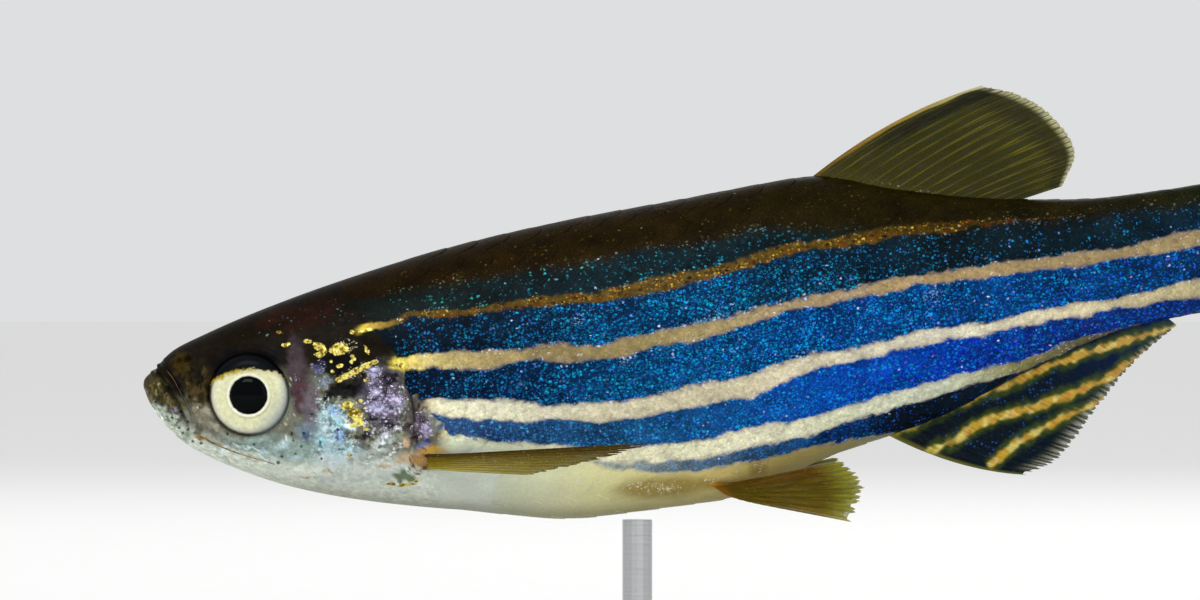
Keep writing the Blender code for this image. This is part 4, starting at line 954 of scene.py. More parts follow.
# the cap's lower edge is a low arc over the pupil, with a fringe of gold along its front half
bowl = add(tree, "VectorMath", {0: level, 1: (-0.11, -1.47, 0)}, operation="DISTANCE")
over = add(tree, "Math", {0: off_even, 1: 0.42, 2: bowl}, operation="MULTIPLY_ADD")
capped = add(tree, "MapRange", {0: over, 1: 2.22, 2: 2.31}, interpolation_type="SMOOTHSTEP")
fringe = add(tree, "Math", {
    0: add(tree, "MapRange", {0: over, 1: 2.13, 2: 2.22}),
    1: add(tree, "MapRange", {0: flat[0], 1: 0.35, 2: -0.15, 3: 0.35, 4: 1.0}),
}, operation="MULTIPLY")
cap_tone = add(tree, "Mix", {0: spokes, 6: "#020304", 7: "#070A12"}, data_type="RGBA")
coloured = add(tree, "Mix", {0: fringe, 6: pearly, 7: "#A08A1C"}, data_type="RGBA")
coloured = add(tree, "Mix", {0: capped, 6: coloured, 7: cap_tone}, data_type="RGBA")
is_pupil = add(tree, "MapRange", {0: flat[2], 1: 0.565, 2: 0.55})
coloured = add(tree, "Mix", {0: is_pupil, 6: coloured, 7: "#010203"}, data_type="RGBA")
gloss = add(tree, "MapRange", {0: is_pupil, 3: 0.42, 4: 0.06})
not_pupil = add(tree, "MapRange", {0: is_pupil, 3: 1.0, 4: 0.0})
eye_relief = add(tree, "Math", {0: spokes, 1: not_pupil}, operation="MULTIPLY")
eye_bump = add(tree, "Bump", {"Height": eye_relief, "Strength": 0.3, "Distance": 0.00002})
feed(shader, {"Base Color": coloured, "Roughness": gloss, "Normal": eye_bump})


def tube_faces(rows, sides):
    """Faces of rings of points, which two more points close at the ends."""
    count = rows * sides
    faces = quads(rows, sides, closed=True).tolist()
    faces += [(count, (k + 1) % sides, k) for k in range(sides)]
    return faces + [(count + 1, count - sides + k, count - sides + (k + 1) % sides) for k in range(sides)]


for side, word in SIDES:
    t = np.linspace(0, 1, 4 * len(EYE_PROFILE) - 3)
    profile = np.clip(along(EYE_PROFILE, t), (0, -9), (9, 9))[1:-1]
    spin = np.arange(EYE_SIDES) * math.tau / EYE_SIDES
    ahead = np.array((-math.sin(EYE_YAW), side * math.cos(EYE_YAW), 0))
    level_way = np.array((math.cos(EYE_YAW), side * math.sin(EYE_YAW), 0))
    middle = np.array((EYE_CENTRE[0], side * EYE_FRONT, EYE_CENTRE[1]))
    spun = np.cos(spin)[None, :, None] * level_way + np.sin(spin)[None, :, None] * np.array((0, 0, 1))
    turned = middle + ahead * profile[:, None, 1:] + profile[:, :1, None] * spun
    radius = profile[:, :1]
    disc_at = np.broadcast_arrays(radius * np.cos(spin), radius * np.sin(spin), radius)
    disc_at = np.stack(disc_at, -1).reshape(-1, 3)
    poles = middle + ahead * EYE_PROFILE[0][1], middle + ahead * EYE_PROFILE[-1][1]
    points = np.vstack((turned.reshape(-1, 3), *poles))
    ball = new_piece("eyeball_" + word, points, tube_faces(len(profile), EYE_SIDES), 70)
    give(ball.data, "disc", np.vstack((disc_at, np.zeros((2, 3)))))
    ball.data.materials.append(iris)
    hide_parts("eye_" + word)
    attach(ball, "root")

# Barbels. Two pairs of soft feelers, one from the corner of the mouth back along the cheek and one
# from the upper lip. Each is a thin tapered thread of skin that lies close to the head.

# line over the head in side view, half thickness at root and tip, height off the skin
BARBELS = {
    "maxillary": (
        ((1.30, -1.64), (1.72, -1.90), (2.35, -2.24), (3.05, -2.60), (3.62, -2.86)), 0.032, 0.010, 0.09,
    ),
    "rostral": (((.74, .36), (.95, .02), (1.12, -.40), (1.26, -.82), (1.34, -1.12)), 0.022, 0.008, 0.05),
}
# moist skin in amber and brown, with a soft gloss
feeler, tree, shader = new_material(
    "barbel_skin", IOR=1.36, Coat_Weight=0.1, Coat_Roughness=0.2, Roughness=0.45,
)
dapple = add(tree, "TexNoise", {"Vector": fish_millimetres(tree), "Scale": 5.0, "Detail": 4.0})
gilt = add(tree, "MapRange", {0: dapple, 1: 0.40, 2: 0.62})
dusk = add(tree, "Attribute", attribute_name="dusk").outputs["Fac"]
amber = add(tree, "Mix", {0: gilt, 6: "#4A3A1C", 7: "#B08A3C"}, data_type="RGBA")
dusky = add(tree, "Mix", {0: gilt, 6: "#1E190E", 7: "#4A3C1E"}, data_type="RGBA")
tone = add(tree, "Mix", {0: dusk, 6: amber, 7: dusky}, data_type="RGBA")
wrinkle = add(tree, "Bump", {"Height": dapple, "Strength": 0.3, "Distance": 0.00001})
feed(shader, {"Base Color": tone, "Normal": wrinkle})


def thread(path, radii, sides=14):
    """Points and faces of a closed tapered tube along a path."""
    heading = np.gradient(path, axis=0)
    heading /= np.linalg.norm(heading, axis=1, keepdims=True)
    aside = np.cross(heading, (0, 0, 1.0))
    aside /= np.linalg.norm(aside, axis=1, keepdims=True)
    other = np.cross(aside, heading)
    a = np.arange(sides) * math.tau / sides
    spun = np.cos(a)[None, :, None] * aside[:, None] + np.sin(a)[None, :, None] * other[:, None]
    ring = path[:, None] + radii[:, None, None] * spun
    poles = path[0] - heading[0] * radii[0], path[-1] + heading[-1] * radii[-1]
    return np.vstack((ring.reshape(-1, 3), *poles)), tube_faces(len(path), sides)


for side, word in SIDES:
    for kind, (line, thick, thin, stand_off) in BARBELS.items():
        t = np.linspace(0, 1, 46)
        point, out = skin_at(*along(line, t).T)
        path = point + out * (stand_off * np.sin(np.minimum(t * 2.2, 1) * math.pi / 2) - 0.04)[:, None]
        path[:, 2] += 0.015 * np.sin(t * 9)
        points, faces = thread(side_of(path, side), thick + (thin - thick) * t**0.8)
        whisker = new_piece(f"feeler_{kind}_{word}", points, faces, 80)
        give(whisker.data, "dusk", [kind == "rostral"] * len(points))
        whisker.data.materials.append(feeler)
        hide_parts(f"barbel_{kind}_{word}")
        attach(whisker, "root")

# Scales. Thin round plates in staggered rows from the shoulder to the tail fin, each rooted in the
# skin in front and lapping the next one behind. The skin's own colours run over them unbroken.

SCALE_SPACING, SCALE_ROWS_APART = 0.98, 0.93
SCALE_LENGTH, SCALE_WIDTH = 1.50, 1.30
SCALE_ROOT, SCALE_LIP = -0.012, 0.022  # height of its front and of its free edge over the plain body
SIZE_SPREAD, TURN_SPREAD, SCALE_SEED = 0.04, math.radians(2.5), 7
SCALES_FROM, SCALES_TO = 7.55, 34.6
# where the rows begin behind the gills: distance round the body, distance from the chin
ROW_STARTS = ((-3.4, 8.2), (-2.2, 8.1), (-1, 7.95), (0, 7.8), (1, 7.5), (2.5, 7.0), (4, 6.8))
SMALLER_FROM = 31  # scales shrink from here to the tail
GUIDE_ENDS, GUIDE_REACH = (6.0, 37.6), 14.0  # along the fish, and each way round from its side
GUIDE_ROWS, GUIDE_COLUMNS = 190, 401
BAKE_LENGTH, BAKE_PATCH = 32.0, 0.003  # length of fish on the unwrap, and a scale's share of it

# one flat scale, root at the origin, free edge towards the tail, its margin folded down
blank_mesh = bpy.data.meshes.new("scale_blank")
blank_points, margin = [], []
ALONG, ACROSS = 6, 6
for i in range(ALONG + 2):
    u = min(i / ALONG, 1.0)
    for j in range(ACROSS + 1):
        v = 2 * j / ACROSS - 1
        length = SCALE_LENGTH * u * (1 - 0.26 * abs(v) ** 2.2 * u)
        width = SCALE_WIDTH / 2 * v * (0.80 + 0.20 * math.sin(math.pi * min(u + 0.15, 1.0)) - 0.10 * u**3)
        height = SCALE_ROOT + (SCALE_LIP - SCALE_ROOT) * u**0.8 * (1 - 0.35 * v * v)
        blank_points.append((length, width, height if i <= ALONG else SCALE_ROOT - 0.02))
        margin.append(max(u**2, abs(v) ** 3 * 0.8) if i <= ALONG else 1.0)
wide = ACROSS + 1
blank_faces = [
    (r * wide + c, (r + 1) * wide + c, (r + 1) * wide + c + 1, r * wide + c + 1)
    for r in range(ALONG + 1) for c in range(ACROSS)
]
blank_mesh.from_pydata(blank_points, [], blank_faces)
give(blank_mesh, "margin", margin)
blank = set_down("scale_blank", blank_mesh)

scaled_skin = skin_material("scaled_fish_skin", scaled=True)

# The tree sets one scale on each root, turns and sizes it a little, and lays it on the guide sheet
lay_scales = bpy.data.node_groups.new("lay_scales", "GeometryNodeTree")
for label, kind, way in (
    ("Roots", "Geometry", "INPUT"), ("Scale", "Object", "INPUT"), ("Guide", "Object", "INPUT"),
    ("Finish", "Material", "INPUT"), ("Size spread", "Float", "INPUT"), ("Turn spread", "Float", "INPUT"),
    ("Seed", "Int", "INPUT"), ("Coat", "Geometry", "OUTPUT"),
):
    lay_scales.interface.new_socket(label, in_out=way, socket_type="NodeSocket" + kind)
tree = lay_scales
given = add(tree, "NodeGroupInput").outputs
seed, size_spread, turn_spread = given["Seed"], given["Size spread"], given["Turn spread"]
least = add(tree, "Math", {0: 1.0, 1: size_spread}, operation="SUBTRACT")
most = add(tree, "Math", {0: 1.0, 1: size_spread}, operation="ADD")
sizes = add(tree, "FunctionNodeRandomValue", {2: least, 3: most, "Seed": seed}, data_type="FLOAT")
fit = add(tree, "GeometryNodeInputNamedAttribute", {"Name": "fit"}, data_type="FLOAT")
fitted = add(tree, "Math", {0: sizes, 1: fit}, operation="MULTIPLY")
least = add(tree, "Math", {0: turn_spread, 1: -1.0}, operation="MULTIPLY")
turns = add(tree, "FunctionNodeRandomValue", {2: least, 3: turn_spread, "Seed": seed}, data_type="FLOAT")
turning = add(tree, "FunctionNodeEulerToRotation", {0: add(tree, "CombineXYZ", {2: turns})})
placed = add(tree, "GeometryNodeInstanceOnPoints", {
    "Points": given["Roots"], "Rotation": turning, "Scale": fitted,
    "Instance": add(tree, "GeometryNodeObjectInfo", {"Object": given["Scale"]}).outputs["Geometry"],
})
loose = add(tree, "GeometryNodeRealizeInstances", {0: placed})
position = add(tree, "GeometryNodeInputPosition")
spot = add(tree, "SeparateXYZ", {0: position}).outputs
guide_u = add(tree, "MapRange", {0: spot[0], 1: GUIDE_ENDS[0], 2: GUIDE_ENDS[1]})
guide_v = add(tree, "MapRange", {0: spot[1], 1: -GUIDE_REACH, 2: GUIDE_REACH})
on_guide = add(tree, "CombineXYZ", {0: guide_u, 1: guide_v})
guide_sheet = add(tree, "GeometryNodeObjectInfo", {"Object": given["Guide"]}).outputs["Geometry"]
guide_uv = add(tree, "GeometryNodeInputNamedAttribute", {"Name": "guide"}, data_type="FLOAT_VECTOR")
away = add(tree, "GeometryNodeInputNamedAttribute", {"Name": "away"}, data_type="FLOAT_VECTOR")
here, facing_out = (add(tree, "GeometryNodeSampleUVSurface", {
    "Mesh": guide_sheet, "Value": value, "Source UV Map": guide_uv, "Sample UV": on_guide,
}, data_type="FLOAT_VECTOR") for value in (position, away))
raised = add(tree, "VectorMath", {0: facing_out, "Scale": spot[2]}, operation="SCALE")
raised = add(tree, "VectorMath", {0: here, 1: raised}, operation="ADD")
laid = add(tree, "GeometryNodeSetPosition", {"Geometry": loose, "Position": raised})
coated = add(tree, "GeometryNodeSetMaterial", {"Geometry": laid, "Material": given["Finish"]})
add(tree, "NodeGroupOutput", {"Coat": coated})


def ring_by_length(x):
    """One section as points against the distance round it from the widest line on the right."""
    angle = np.linspace(0, math.tau, 1441)
    ring = surface(np.full_like(angle, x), angle)
    length = np.concatenate(((0.0,), np.cumsum(np.linalg.norm(np.diff(ring, axis=0), axis=1))))
    return ring, length


guide_x = np.linspace(*GUIDE_ENDS, GUIDE_ROWS)
guide_w = np.linspace(-GUIDE_REACH, GUIDE_REACH, GUIDE_COLUMNS)
guide_points, upper_girth, lower_girth = np.empty((len(guide_x), len(guide_w), 3)), [], []
for row, x in enumerate(guide_x):
    ring, length = ring_by_length(min(x, BODY_LENGTH))
    at = np.mod(guide_w, length[-1])
    guide_points[row] = np.column_stack([np.interp(at, length, ring[:, k]) for k in range(3)])
    guide_points[row, :, 0] = x
    upper_girth.append(length[np.argmax(ring[:, 2])])
    lower_girth.append(length[-1] - length[np.argmin(ring[:, 2])])
guide_away = outward(guide_points, closed=False)
height_over = guide_points[..., 2] - guide_points[..., 2].mean(1, keepdims=True)
facing_away = guide_away[..., 1] * guide_points[..., 1] + guide_away[..., 2] * height_over
guide_away *= np.sign(facing_away.sum(1))[:, None, None]

# roots in staggered rows, kept where they lie on this side of the back and of the belly
roots, fits = [], []
row_count = int(GUIDE_REACH / SCALE_ROWS_APART)
for row in range(-row_count, row_count + 1):
    for step in range(int((SCALES_TO - SCALES_FROM) / SCALE_SPACING) + 2):
        x = SCALES_FROM + (step + 0.5 * (row % 2)) * SCALE_SPACING
        w = row * SCALE_ROWS_APART
        high, low = np.interp(x, guide_x, upper_girth), np.interp(x, guide_x, lower_girth)
        behind_gills = x > column(ROW_STARTS, w) - 0.1
        if behind_gills and x <= SCALES_TO and -low - 0.35 < w < high + 0.35:
            roots.append((x, w, 0.0))
            fits.append(1.0 if x < SMALLER_FROM else 1.0 - 0.06 * (x - SMALLER_FROM))

for side, word in SIDES:
    guide_mesh = bpy.data.meshes.new("guide_sheet")
    sheet_points = side_of(guide_points, side).reshape(-1, 3)
    guide_mesh.from_pydata(sheet_points.tolist(), [], quads(GUIDE_ROWS, GUIDE_COLUMNS).tolist())
    give(guide_mesh, "away", side_of(guide_away, side))
    u = (guide_x - guide_x[0]) / (guide_x[-1] - guide_x[0])
    u, v = np.meshgrid(u, (guide_w + GUIDE_REACH) / (2 * GUIDE_REACH), indexing="ij")
    give(guide_mesh, "guide", np.stack((u, v, 0 * u), -1))
    guide = set_down("guide_sheet", guide_mesh)
    root_mesh = bpy.data.meshes.new("scale_roots")
    root_mesh.from_pydata(roots, [], [])
    give(root_mesh, "fit", fits)
    give(root_mesh, "root", roots)
    rows_of_roots = set_down("scale_roots", root_mesh)
    laying = rows_of_roots.modifiers.new("lay_scales", "NODES")
    laying.node_group = lay_scales
    given = {
        "Scale": blank, "Guide": guide, "Finish": scaled_skin, "Size spread": SIZE_SPREAD,
        "Turn spread": TURN_SPREAD, "Seed": SCALE_SEED,
    }
    for socket in lay_scales.interface.items_tree:
        if socket.name in given:
            laying[socket.identifier] = given[socket.name]
    evaluated = rows_of_roots.evaluated_get(bpy.context.evaluated_depsgraph_get())
    coat_mesh = bpy.data.meshes.new_from_object(evaluated)
    rows_of_roots.modifiers.remove(laying)
    coat_mesh.name = "scales_" + word
    at = read_out(coat_mesh.vertices, "co")
    coat_mesh.vertices.foreach_set("co", world(at).ravel())
    coat_mesh.update()
    coat = set_down("scales_" + word, coat_mesh)
    way, place = read_out(coat_mesh.polygons, "normal"), read_out(coat_mesh.polygons, "center")
    if (way[:, 1] * place[:, 1]).sum() < 0:
        coat_mesh.flip_normals()
    coat_mesh.shade_smooth()
    coat_mesh.set_sharp_from_angle(angle=math.radians(60))
    mark(coat)
    # where each scale's colours are baked: a small patch at its root on an unwrap of the skin
    root_at = read_out(coat_mesh.attributes["root"].data, "vector")
    corner = np.empty(len(coat_mesh.loops), int)
    coat_mesh.loops.foreach_get("vertex_index", corner)
    across_scale = np.tile(np.linspace(0, 1, wide), len(root_at) // wide)
    patch = np.column_stack(((at[:, 0] - root_at[:, 0]) / SCALE_LENGTH, across_scale))
    u, v = (root_at[:, 0] - GUIDE_ENDS[0]) / BAKE_LENGTH, (root_at[:, 1] + GUIDE_REACH) / (2 * GUIDE_REACH)
    spread_out = (np.column_stack((u, v)) + patch * BAKE_PATCH)[corner].astype(np.float32)
    coat_mesh.uv_layers.new(name="OFBake").data.foreach_set("uv", spread_out.ravel())
    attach(coat, "root")
    for spare in (guide, rows_of_roots):
        bpy.data.objects.remove(spare)
bpy.data.objects.remove(blank)

# Fins. Each is one sheet of clear skin, thin as paper, stretched over bony rays that fork twice and
# are jointed all along. The dorsal, anal and tail fins stand on the mid plane, the pectoral and
# pelvic fins are pairs. Their roots run into the body.

COLUMNS_PER_RAY, FIN_ROWS = 14, 84
SHEET_THICKNESS, SHEET_EDGE = 0.07, 0.03
RAY_RIDGE, RAY_RIDGE_TIP = 0.09, 0.03
JOINT_SPACING = 0.26  # between the joints of a ray


def fin_mesh(
    name, on_ray, rays, notch, seed, side=1, unforked=1, fork=(0.42, 0.72), ridge=RAY_RIDGE, root=0.05,
):
    """A fin from on_ray(place across, share out), with ridges for its forked rays on both faces.
    With it come its points' places, and apart their share out, nearness to a ray, share across."""
    random = np.random.default_rng(seed)
    place = np.linspace(0, rays - 1, (rays - 1) * COLUMNS_PER_RAY + 1)[None]
    out = (np.linspace(0, 1, FIN_ROWS) ** 0.9)[:, None]
    # every branch of every ray: the ray it belongs to, its two forks and how far its tip reaches
    crest, tip_crest, branch_reach = np.zeros((FIN_ROWS, place.size)), np.zeros(place.size), []
    for k in range(rays):
        whole = min(1.0, max(0.0, (k - unforked + 1) / 2))
        for first in (-0.25, 0.25):
            for second in (-0.12, 0.12):
                centre = k + whole * (first * ease(out, fork[0], 1.15) + second * ease(out, fork[1], 1.2))
                width = 0.14 - 0.075 * out
                crest = np.maximum(crest, np.exp(-(((place - centre) / width) ** 2)))
                tip_crest = np.maximum(tip_crest, np.exp(-(((place[0] - centre[-1, 0]) / 0.09) ** 2)))
                branch_reach.append((centre[-1, 0], random.uniform(-1, 1)))
    branch_reach.sort()
    uneven = np.interp(place[0], *zip(*branch_reach))
    reach = 1 - notch * (1 - tip_crest) + 0.45 * notch * (uneven - 1)
    shares = out * reach[None]
    middle = on_ray(place, shares)
    normal = outward(middle, closed=False)
    length = np.cumsum(np.linalg.norm(np.diff(middle, axis=0, prepend=middle[:1]), axis=-1), axis=0)
    joints = 1 - 0.45 * hump(np.mod(length / JOINT_SPACING, 1.0), 0.5, 0.13) * ease(out, 0.15, 0.3)
    ridge_by = (ridge + (RAY_RIDGE_TIP - ridge) * out) * crest * joints
    thick = SHEET_THICKNESS + (SHEET_EDGE - SHEET_THICKNESS) * out + ridge_by
    thick += root * ease(out, 0.14, 0.0) * np.sqrt(np.sin(math.pi * np.clip(place / (rays - 1), 0.0, 1.0)))
    thick[-1] = SHEET_EDGE
    front, back = middle + normal * thick[..., None] / 2, middle - normal * thick[..., None] / 2
    loop = np.concatenate((front, back[:, ::-1]), axis=1)
    rows, wide = loop.shape[:2]
    faces = quads(rows, wide, closed=True).tolist()
    for row in (0, rows - 1):
        first, last = row * wide, row * wide + wide - 1
        faces += [(first + c, first + c + 1, last - c - 1, last - c) for c in range(place.size - 1)]
    piece = new_piece(name, side_of(loop.reshape(-1, 3), side), faces, 60)

    def doubled(values):
        values = np.broadcast_to(values, middle.shape[:2])
        return np.concatenate((values, values[:, ::-1]), axis=1).ravel()

    shape = {label: doubled(values) for label, values in (
        ("place", place), ("out", shares), ("ray", crest), ("length", length),
        ("x", middle[..., 0]), ("z", middle[..., 2]),
    )}
    return piece, shape, shape["out"], shape["ray"], shape["place"] / (rays - 1)


def paint_fin(piece, shape, tint, clear, sparkle):
    """Hands the fin's colours, opacity and ray pattern to its material."""
    give(piece.data, "tint", np.column_stack((tint, clear)))
    give(piece.data, "along_rays", np.column_stack((shape["place"], shape["length"], shape["ray"])))
    give(piece.data, "sparkle", sparkle)


def fin_material(name, sparkle_code):
    """Fin skin over bony rays: thin, wet and half clear. Pigment lies in streaks along the rays, and
    a few reflecting cells give fine bright points, about 0.05 mm across."""
    made, tree, shader = new_material(name, IOR=1.38, Coat_Weight=0.0, Specular_IOR_Level=0.06)
    tint = add(tree, "Attribute", attribute_name="tint").outputs
    along_rays = add(tree, "Attribute", attribute_name="along_rays").outputs["Vector"]
    streaked = add(tree, "VectorMath", {0: along_rays, 1: (5.0, 1.6, 0.6)}, operation="MULTIPLY")
    streak = add(tree, "TexNoise", {"Vector": streaked, "Scale": 1.0, "Detail": 4.0, "Roughness": 0.6})
    streak_by = add(tree, "MapRange", {0: streak, 1: 0.3, 2: 0.7, 3: 0.70, 4: 1.27})
    colour = add(tree, "VectorMath", {0: tint["Color"], "Scale": streak_by}, operation="SCALE")
    place = fish_millimetres(tree)
    cells = add(tree, "TexVoronoi", {"Vector": place, "Scale": 9.0, "Randomness": 1.0})
    chance = add(tree, "SeparateColor", {0: cells.outputs["Color"]})
    near = add(tree, "MapRange", {0: cells, 1: 0.40, 2: 0.20})
    rare = add(tree, "MapRange", {0: chance, 1: 0.45, 2: 0.9})
    shine = add(tree, "Math", {0: near, 1: rare}, operation="MULTIPLY")
    sparkle = add(tree, "Attribute", attribute_name="sparkle").outputs["Fac"]
    shine = add(tree, "Math", {0: shine, 1: sparkle}, operation="MULTIPLY")
    colour = add(tree, "Mix", {0: shine, 6: colour, 7: sparkle_code}, data_type="RGBA")
    opaque = add(tree, "MapRange", {0: streak, 1: 0.3, 2: 0.7, 3: -0.10, 4: 0.10})
    opaque = add(tree, "Math", {0: tint["Alpha"], 1: opaque}, operation="ADD", use_clamp=True)
    metal = add(tree, "Math", {0: shine, 1: 0.3}, operation="MULTIPLY")
    wetness = add(tree, "MapRange", {0: streak, 1: 0.3, 2: 0.7, 3: 0.34, 4: 0.5})
    bump = add(tree, "Bump", {"Height": streak, "Strength": 0.3, "Distance": 0.00001})
    feed(shader, {
        "Base Color": colour, "Alpha": opaque, "Metallic": metal, "Roughness": wetness, "Normal": bump,
    })
    return made


def finish_fin(piece, material, node):
    piece.data.materials.append(material)
    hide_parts(node)
    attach(piece, "root")


def bowed(root, tip, bow, share):
    """From root to tip, pushed aside most at the middle."""
    return root + (tip - root) * share[..., None] + bow * (4 * share * (1 - share))[..., None]


def median_ray(base, tips, rays, bow, edge, sink):
    """Rays of a fin on the mid plane; sink is how far the roots start inside the body."""

    def on_ray(place, share):
        place, share = np.broadcast_arrays(place, share)
        t = place / (rays - 1)
        x = base[0] + (base[1] - base[0]) * t
        end = along(tips, t)
        root = np.stack((x, 0 * x, smooth(BODY_STATIONS, x, edge) - math.copysign(sink, bow)), -1)
        lift = np.stack((0 * x, 0 * x, bow * (1 - t) ** 1.5), -1)
        return bowed(root, np.stack((end[..., 0], 0 * x, end[..., 1]), -1), lift, share)

    return on_ray


# Dorsal fin: olive brown between paler rays, gold along its front ray, whitish at the ray tips
DORSAL_BASE, DORSAL_RAYS = (20.35, 26.1), 9
DORSAL_TIPS = ((26.3, 5.53), (27.35, 5.10), (28.2, 4.40), (28.78, 3.21), (28.25, 2.19))
rays = 2 * DORSAL_RAYS - 1  # the soft rays stand closer than the solid's ridges
raised = median_ray(DORSAL_BASE, DORSAL_TIPS, rays, 0.36, 1, 0.3)
fin, shape, share, ray, place = fin_mesh(
    "fin_dorsal_skin", raised, rays, 0.012, 3, unforked=2, fork=(0.25, 0.55), ridge=0.025,
)
tint = tones(share, ((0, "#4A4210"), (.15, "#302E06"), (.5, "#2A2A04"), (.85, "#32320A"), (1, "#3E3E12")))
olive = 0.34 + 0.20 * wander(share * 6, 0 * share, place * 30, 1.0, 51)
tint = blend(tint, "#7C7028", olive * ray**3 * ease(share, 0, .2))
tint = blend(tint, "#17150A", 0.55 * ease(share, 0.72, 0.86) * ease(share, 0.96, 0.92))
tint = blend(tint, "#0C0C04", 0.80 * hump(place, 0.12, 0.06) * ease(share, 0.2, 0.5))
rim_tone = tones(share, (
    (0, "#5A4210"), (.3, "#8A6A22"), (.6, "#A48A3C"), (.85, "#B8AC70"), (1, "#CFCB98"),
))
rim = ease(place + 0.010 * wander(share * 9, 0 * share, 0 * share, 1.0, 52), 0.044, 0.020)
tint = blend(tint, rim_tone, 0.85 * rim)
ray_tips = 0.85 * ease(share, 0.93, 0.975) * ease(place, 0.0, 0.1) * (0.08 + 0.92 * ray)
tint = blend(tint, "#CFCB98", ray_tips)
clear = 0.95 - 0.30 * ease(share, 0.91, 1.0) * (1 - 0.6 * ray) - 0.04 * (1 - ray)
paint_fin(fin, shape, tint, clear, 0.8 * ease(share, .14, .03) * ease(place, .25, .5))
finish_fin(fin, fin_material("dorsal_fin_skin", "#E8E4C0"), "fin_dorsal")

# Anal fin: gold bands cross the rays over navy black, and run up into the flank's lowest band
ANAL_BASE, ANAL_RAYS = (21.7, 30.6), 13
ANAL_TIPS = ((26.0, -6.30), (27.1, -5.90), (28.3, -4.70), (29.6, -3.45), (31.1, -2.45))
GOLD_BANDS = (
    ((21.9, -4.66), (23.2, -4.22), (24.4, -3.87), (25.9, -3.48), (27.5, -3.05), (29.1, -2.75),
     (31.0, -2.49), (32.4, -2.3)),
    ((22.9, -5.36), (24.0, -4.92), (25.0, -4.53), (26.3, -4.32), (27.7, -4.05), (28.8, -3.74),
     (29.6, -3.33), (30.6, -2.9)),
    ((24.8, -5.88), (25.7, -5.41), (26.8, -4.91), (28.0, -4.55), (28.9, -4.3)),
)
rays = 2 * ANAL_RAYS - 5
leaning = median_ray(ANAL_BASE, ANAL_TIPS, rays, -0.30, 2, 0.3)
fin, shape, share, ray, place = fin_mesh("fin_anal_skin", leaning, rays, 0.035, 4, unforked=2, ridge=0.05)
x, z = shape["x"], shape["z"]
tint = tones(x, ((22, "#060E16"), (27, "#04121C"), (30, "#06183A"), (32, "#0A2A62")))
bands = np.zeros(len(x))
rims = np.zeros(len(x))
uneven = 0.05 * wander(x, 0 * x, z, 0.45, 41) + 0.03 * wander(x, 0 * x, z, 0.16, 42)
for line, width in zip(GOLD_BANDS, (0.16, 0.19, 0.18)):
    gap, _, at = nearest(x, z, line)
    bands = np.maximum(bands, ease(gap + uneven, width / 2 + 0.06, width / 2 - 0.06) * ease(at, 0, 0.03))
    rims = np.maximum(rims, ease(gap + uneven, width / 2 + 0.26, width / 2 + 0.02) * ease(at, 0, 0.03))
gold_tone = tones(x, ((22, "#B4A03C"), (25, "#AE8E30"), (28, "#B4903C"), (32, "#A0824C")))
gold_tone = blend(gold_tone, "#D8D080", 0.55 * ease(wander(x, 0 * x, z, 0.24, 43), 0.15, 0.6))
gold_tone = blend(gold_tone, "#A86420", 0.40 * ease(wander(x, 0 * x, z, 0.30, 44), 0.20, 0.7))
tint = blend(tint, "#3A4A14", 0.75 * rims)
tint = blend(tint, gold_tone, 0.95 * bands)
margin = ease(share, 0.80, 0.97) * ease(place, 0.02, 0.12)
tint = blend(tint, "#0A0C08", 0.85 * margin * (1 - bands) * ray)
tint = blend(tint, "#6A6A30", 0.7 * margin * (1 - ray) * (1 - bands))
tint = blend(tint, "#6E6A28", 0.6 * ease(place, 0.030, 0.008))
clear = 0.97 - 0.60 * margin * (1 - 0.75 * ray) * (1 - 0.6 * bands)
paint_fin(fin, shape, tint, clear, 0.5 * (1 - bands) * ease(wander(x, 0 * x, z, 0.6, 45), 0.0, 0.5))
striped_fin = fin_material("striped_fin_skin", "#2458B4")
finish_fin(fin, striped_fin, "fin_anal")

# Tail fin: two lobes, the flank's bands carried on along the rays, clear at both edges
CAUDAL_RAYS, CAUDAL_LOBE, CAUDAL_FORK = 18, 8.6, 5.6  # length of a lobe and of the middle rays
CAUDAL_SPREAD, CAUDAL_CENTRE = math.radians(29), -0.18
# share of the way down the fin's root, hex
CAUDAL_BANDS = (
    (0, "#B0A888"), (.05, "#8A8468"), (.08, "#14305C"), (.15, "#102E66"), (.18, "#AA966C"),
    (.25, "#AA966C"), (.28, "#123874"), (.38, "#103C84"), (.41, "#B09C72"), (.46, "#B09C72"),
    (.49, "#10408E"), (.54, "#10408E"), (.57, "#B09C72"), (.62, "#B09C72"), (.65, "#103C84"),
    (.74, "#123C90"), (.77, "#AA9A6C"), (.83, "#AA9A6C"), (.86, "#16305C"), (.93, "#16305C"),
    (.96, "#8A8468"), (1, "#B0A888"),
)


def caudal_ray(place, share):
    place, share = np.broadcast_arrays(place, share)
    top, bottom = (float(smooth(BODY_STATIONS, BODY_LENGTH, k)) for k in (1, 2))
    swing = 1 - 2 * place / (CAUDAL_RAYS - 1)
    far = np.abs(swing)
    angle = CAUDAL_SPREAD * np.sign(swing) * far**0.85
    rounded = 1 - 0.12 * np.maximum(0.0, (far - 0.85) / 0.15)
    reach = (CAUDAL_FORK + (CAUDAL_LOBE - CAUDAL_FORK) * far**1.1) * rounded
    level = (top + bottom) / 2 + ((top - bottom) / 2 - 0.12) * swing
    root = np.stack((BODY_LENGTH + 0.2 + 0 * swing, 0 * swing, level), -1)
    tip_x = BODY_LENGTH + 0.25 + reach * np.cos(angle)
    tip = np.stack((tip_x, 0 * swing, CAUDAL_CENTRE + swing * 1.1 + reach * np.sin(angle)), -1)
    return bowed(root, tip, np.stack((0 * swing, 0 * swing, 0.35 * swing), -1), share)


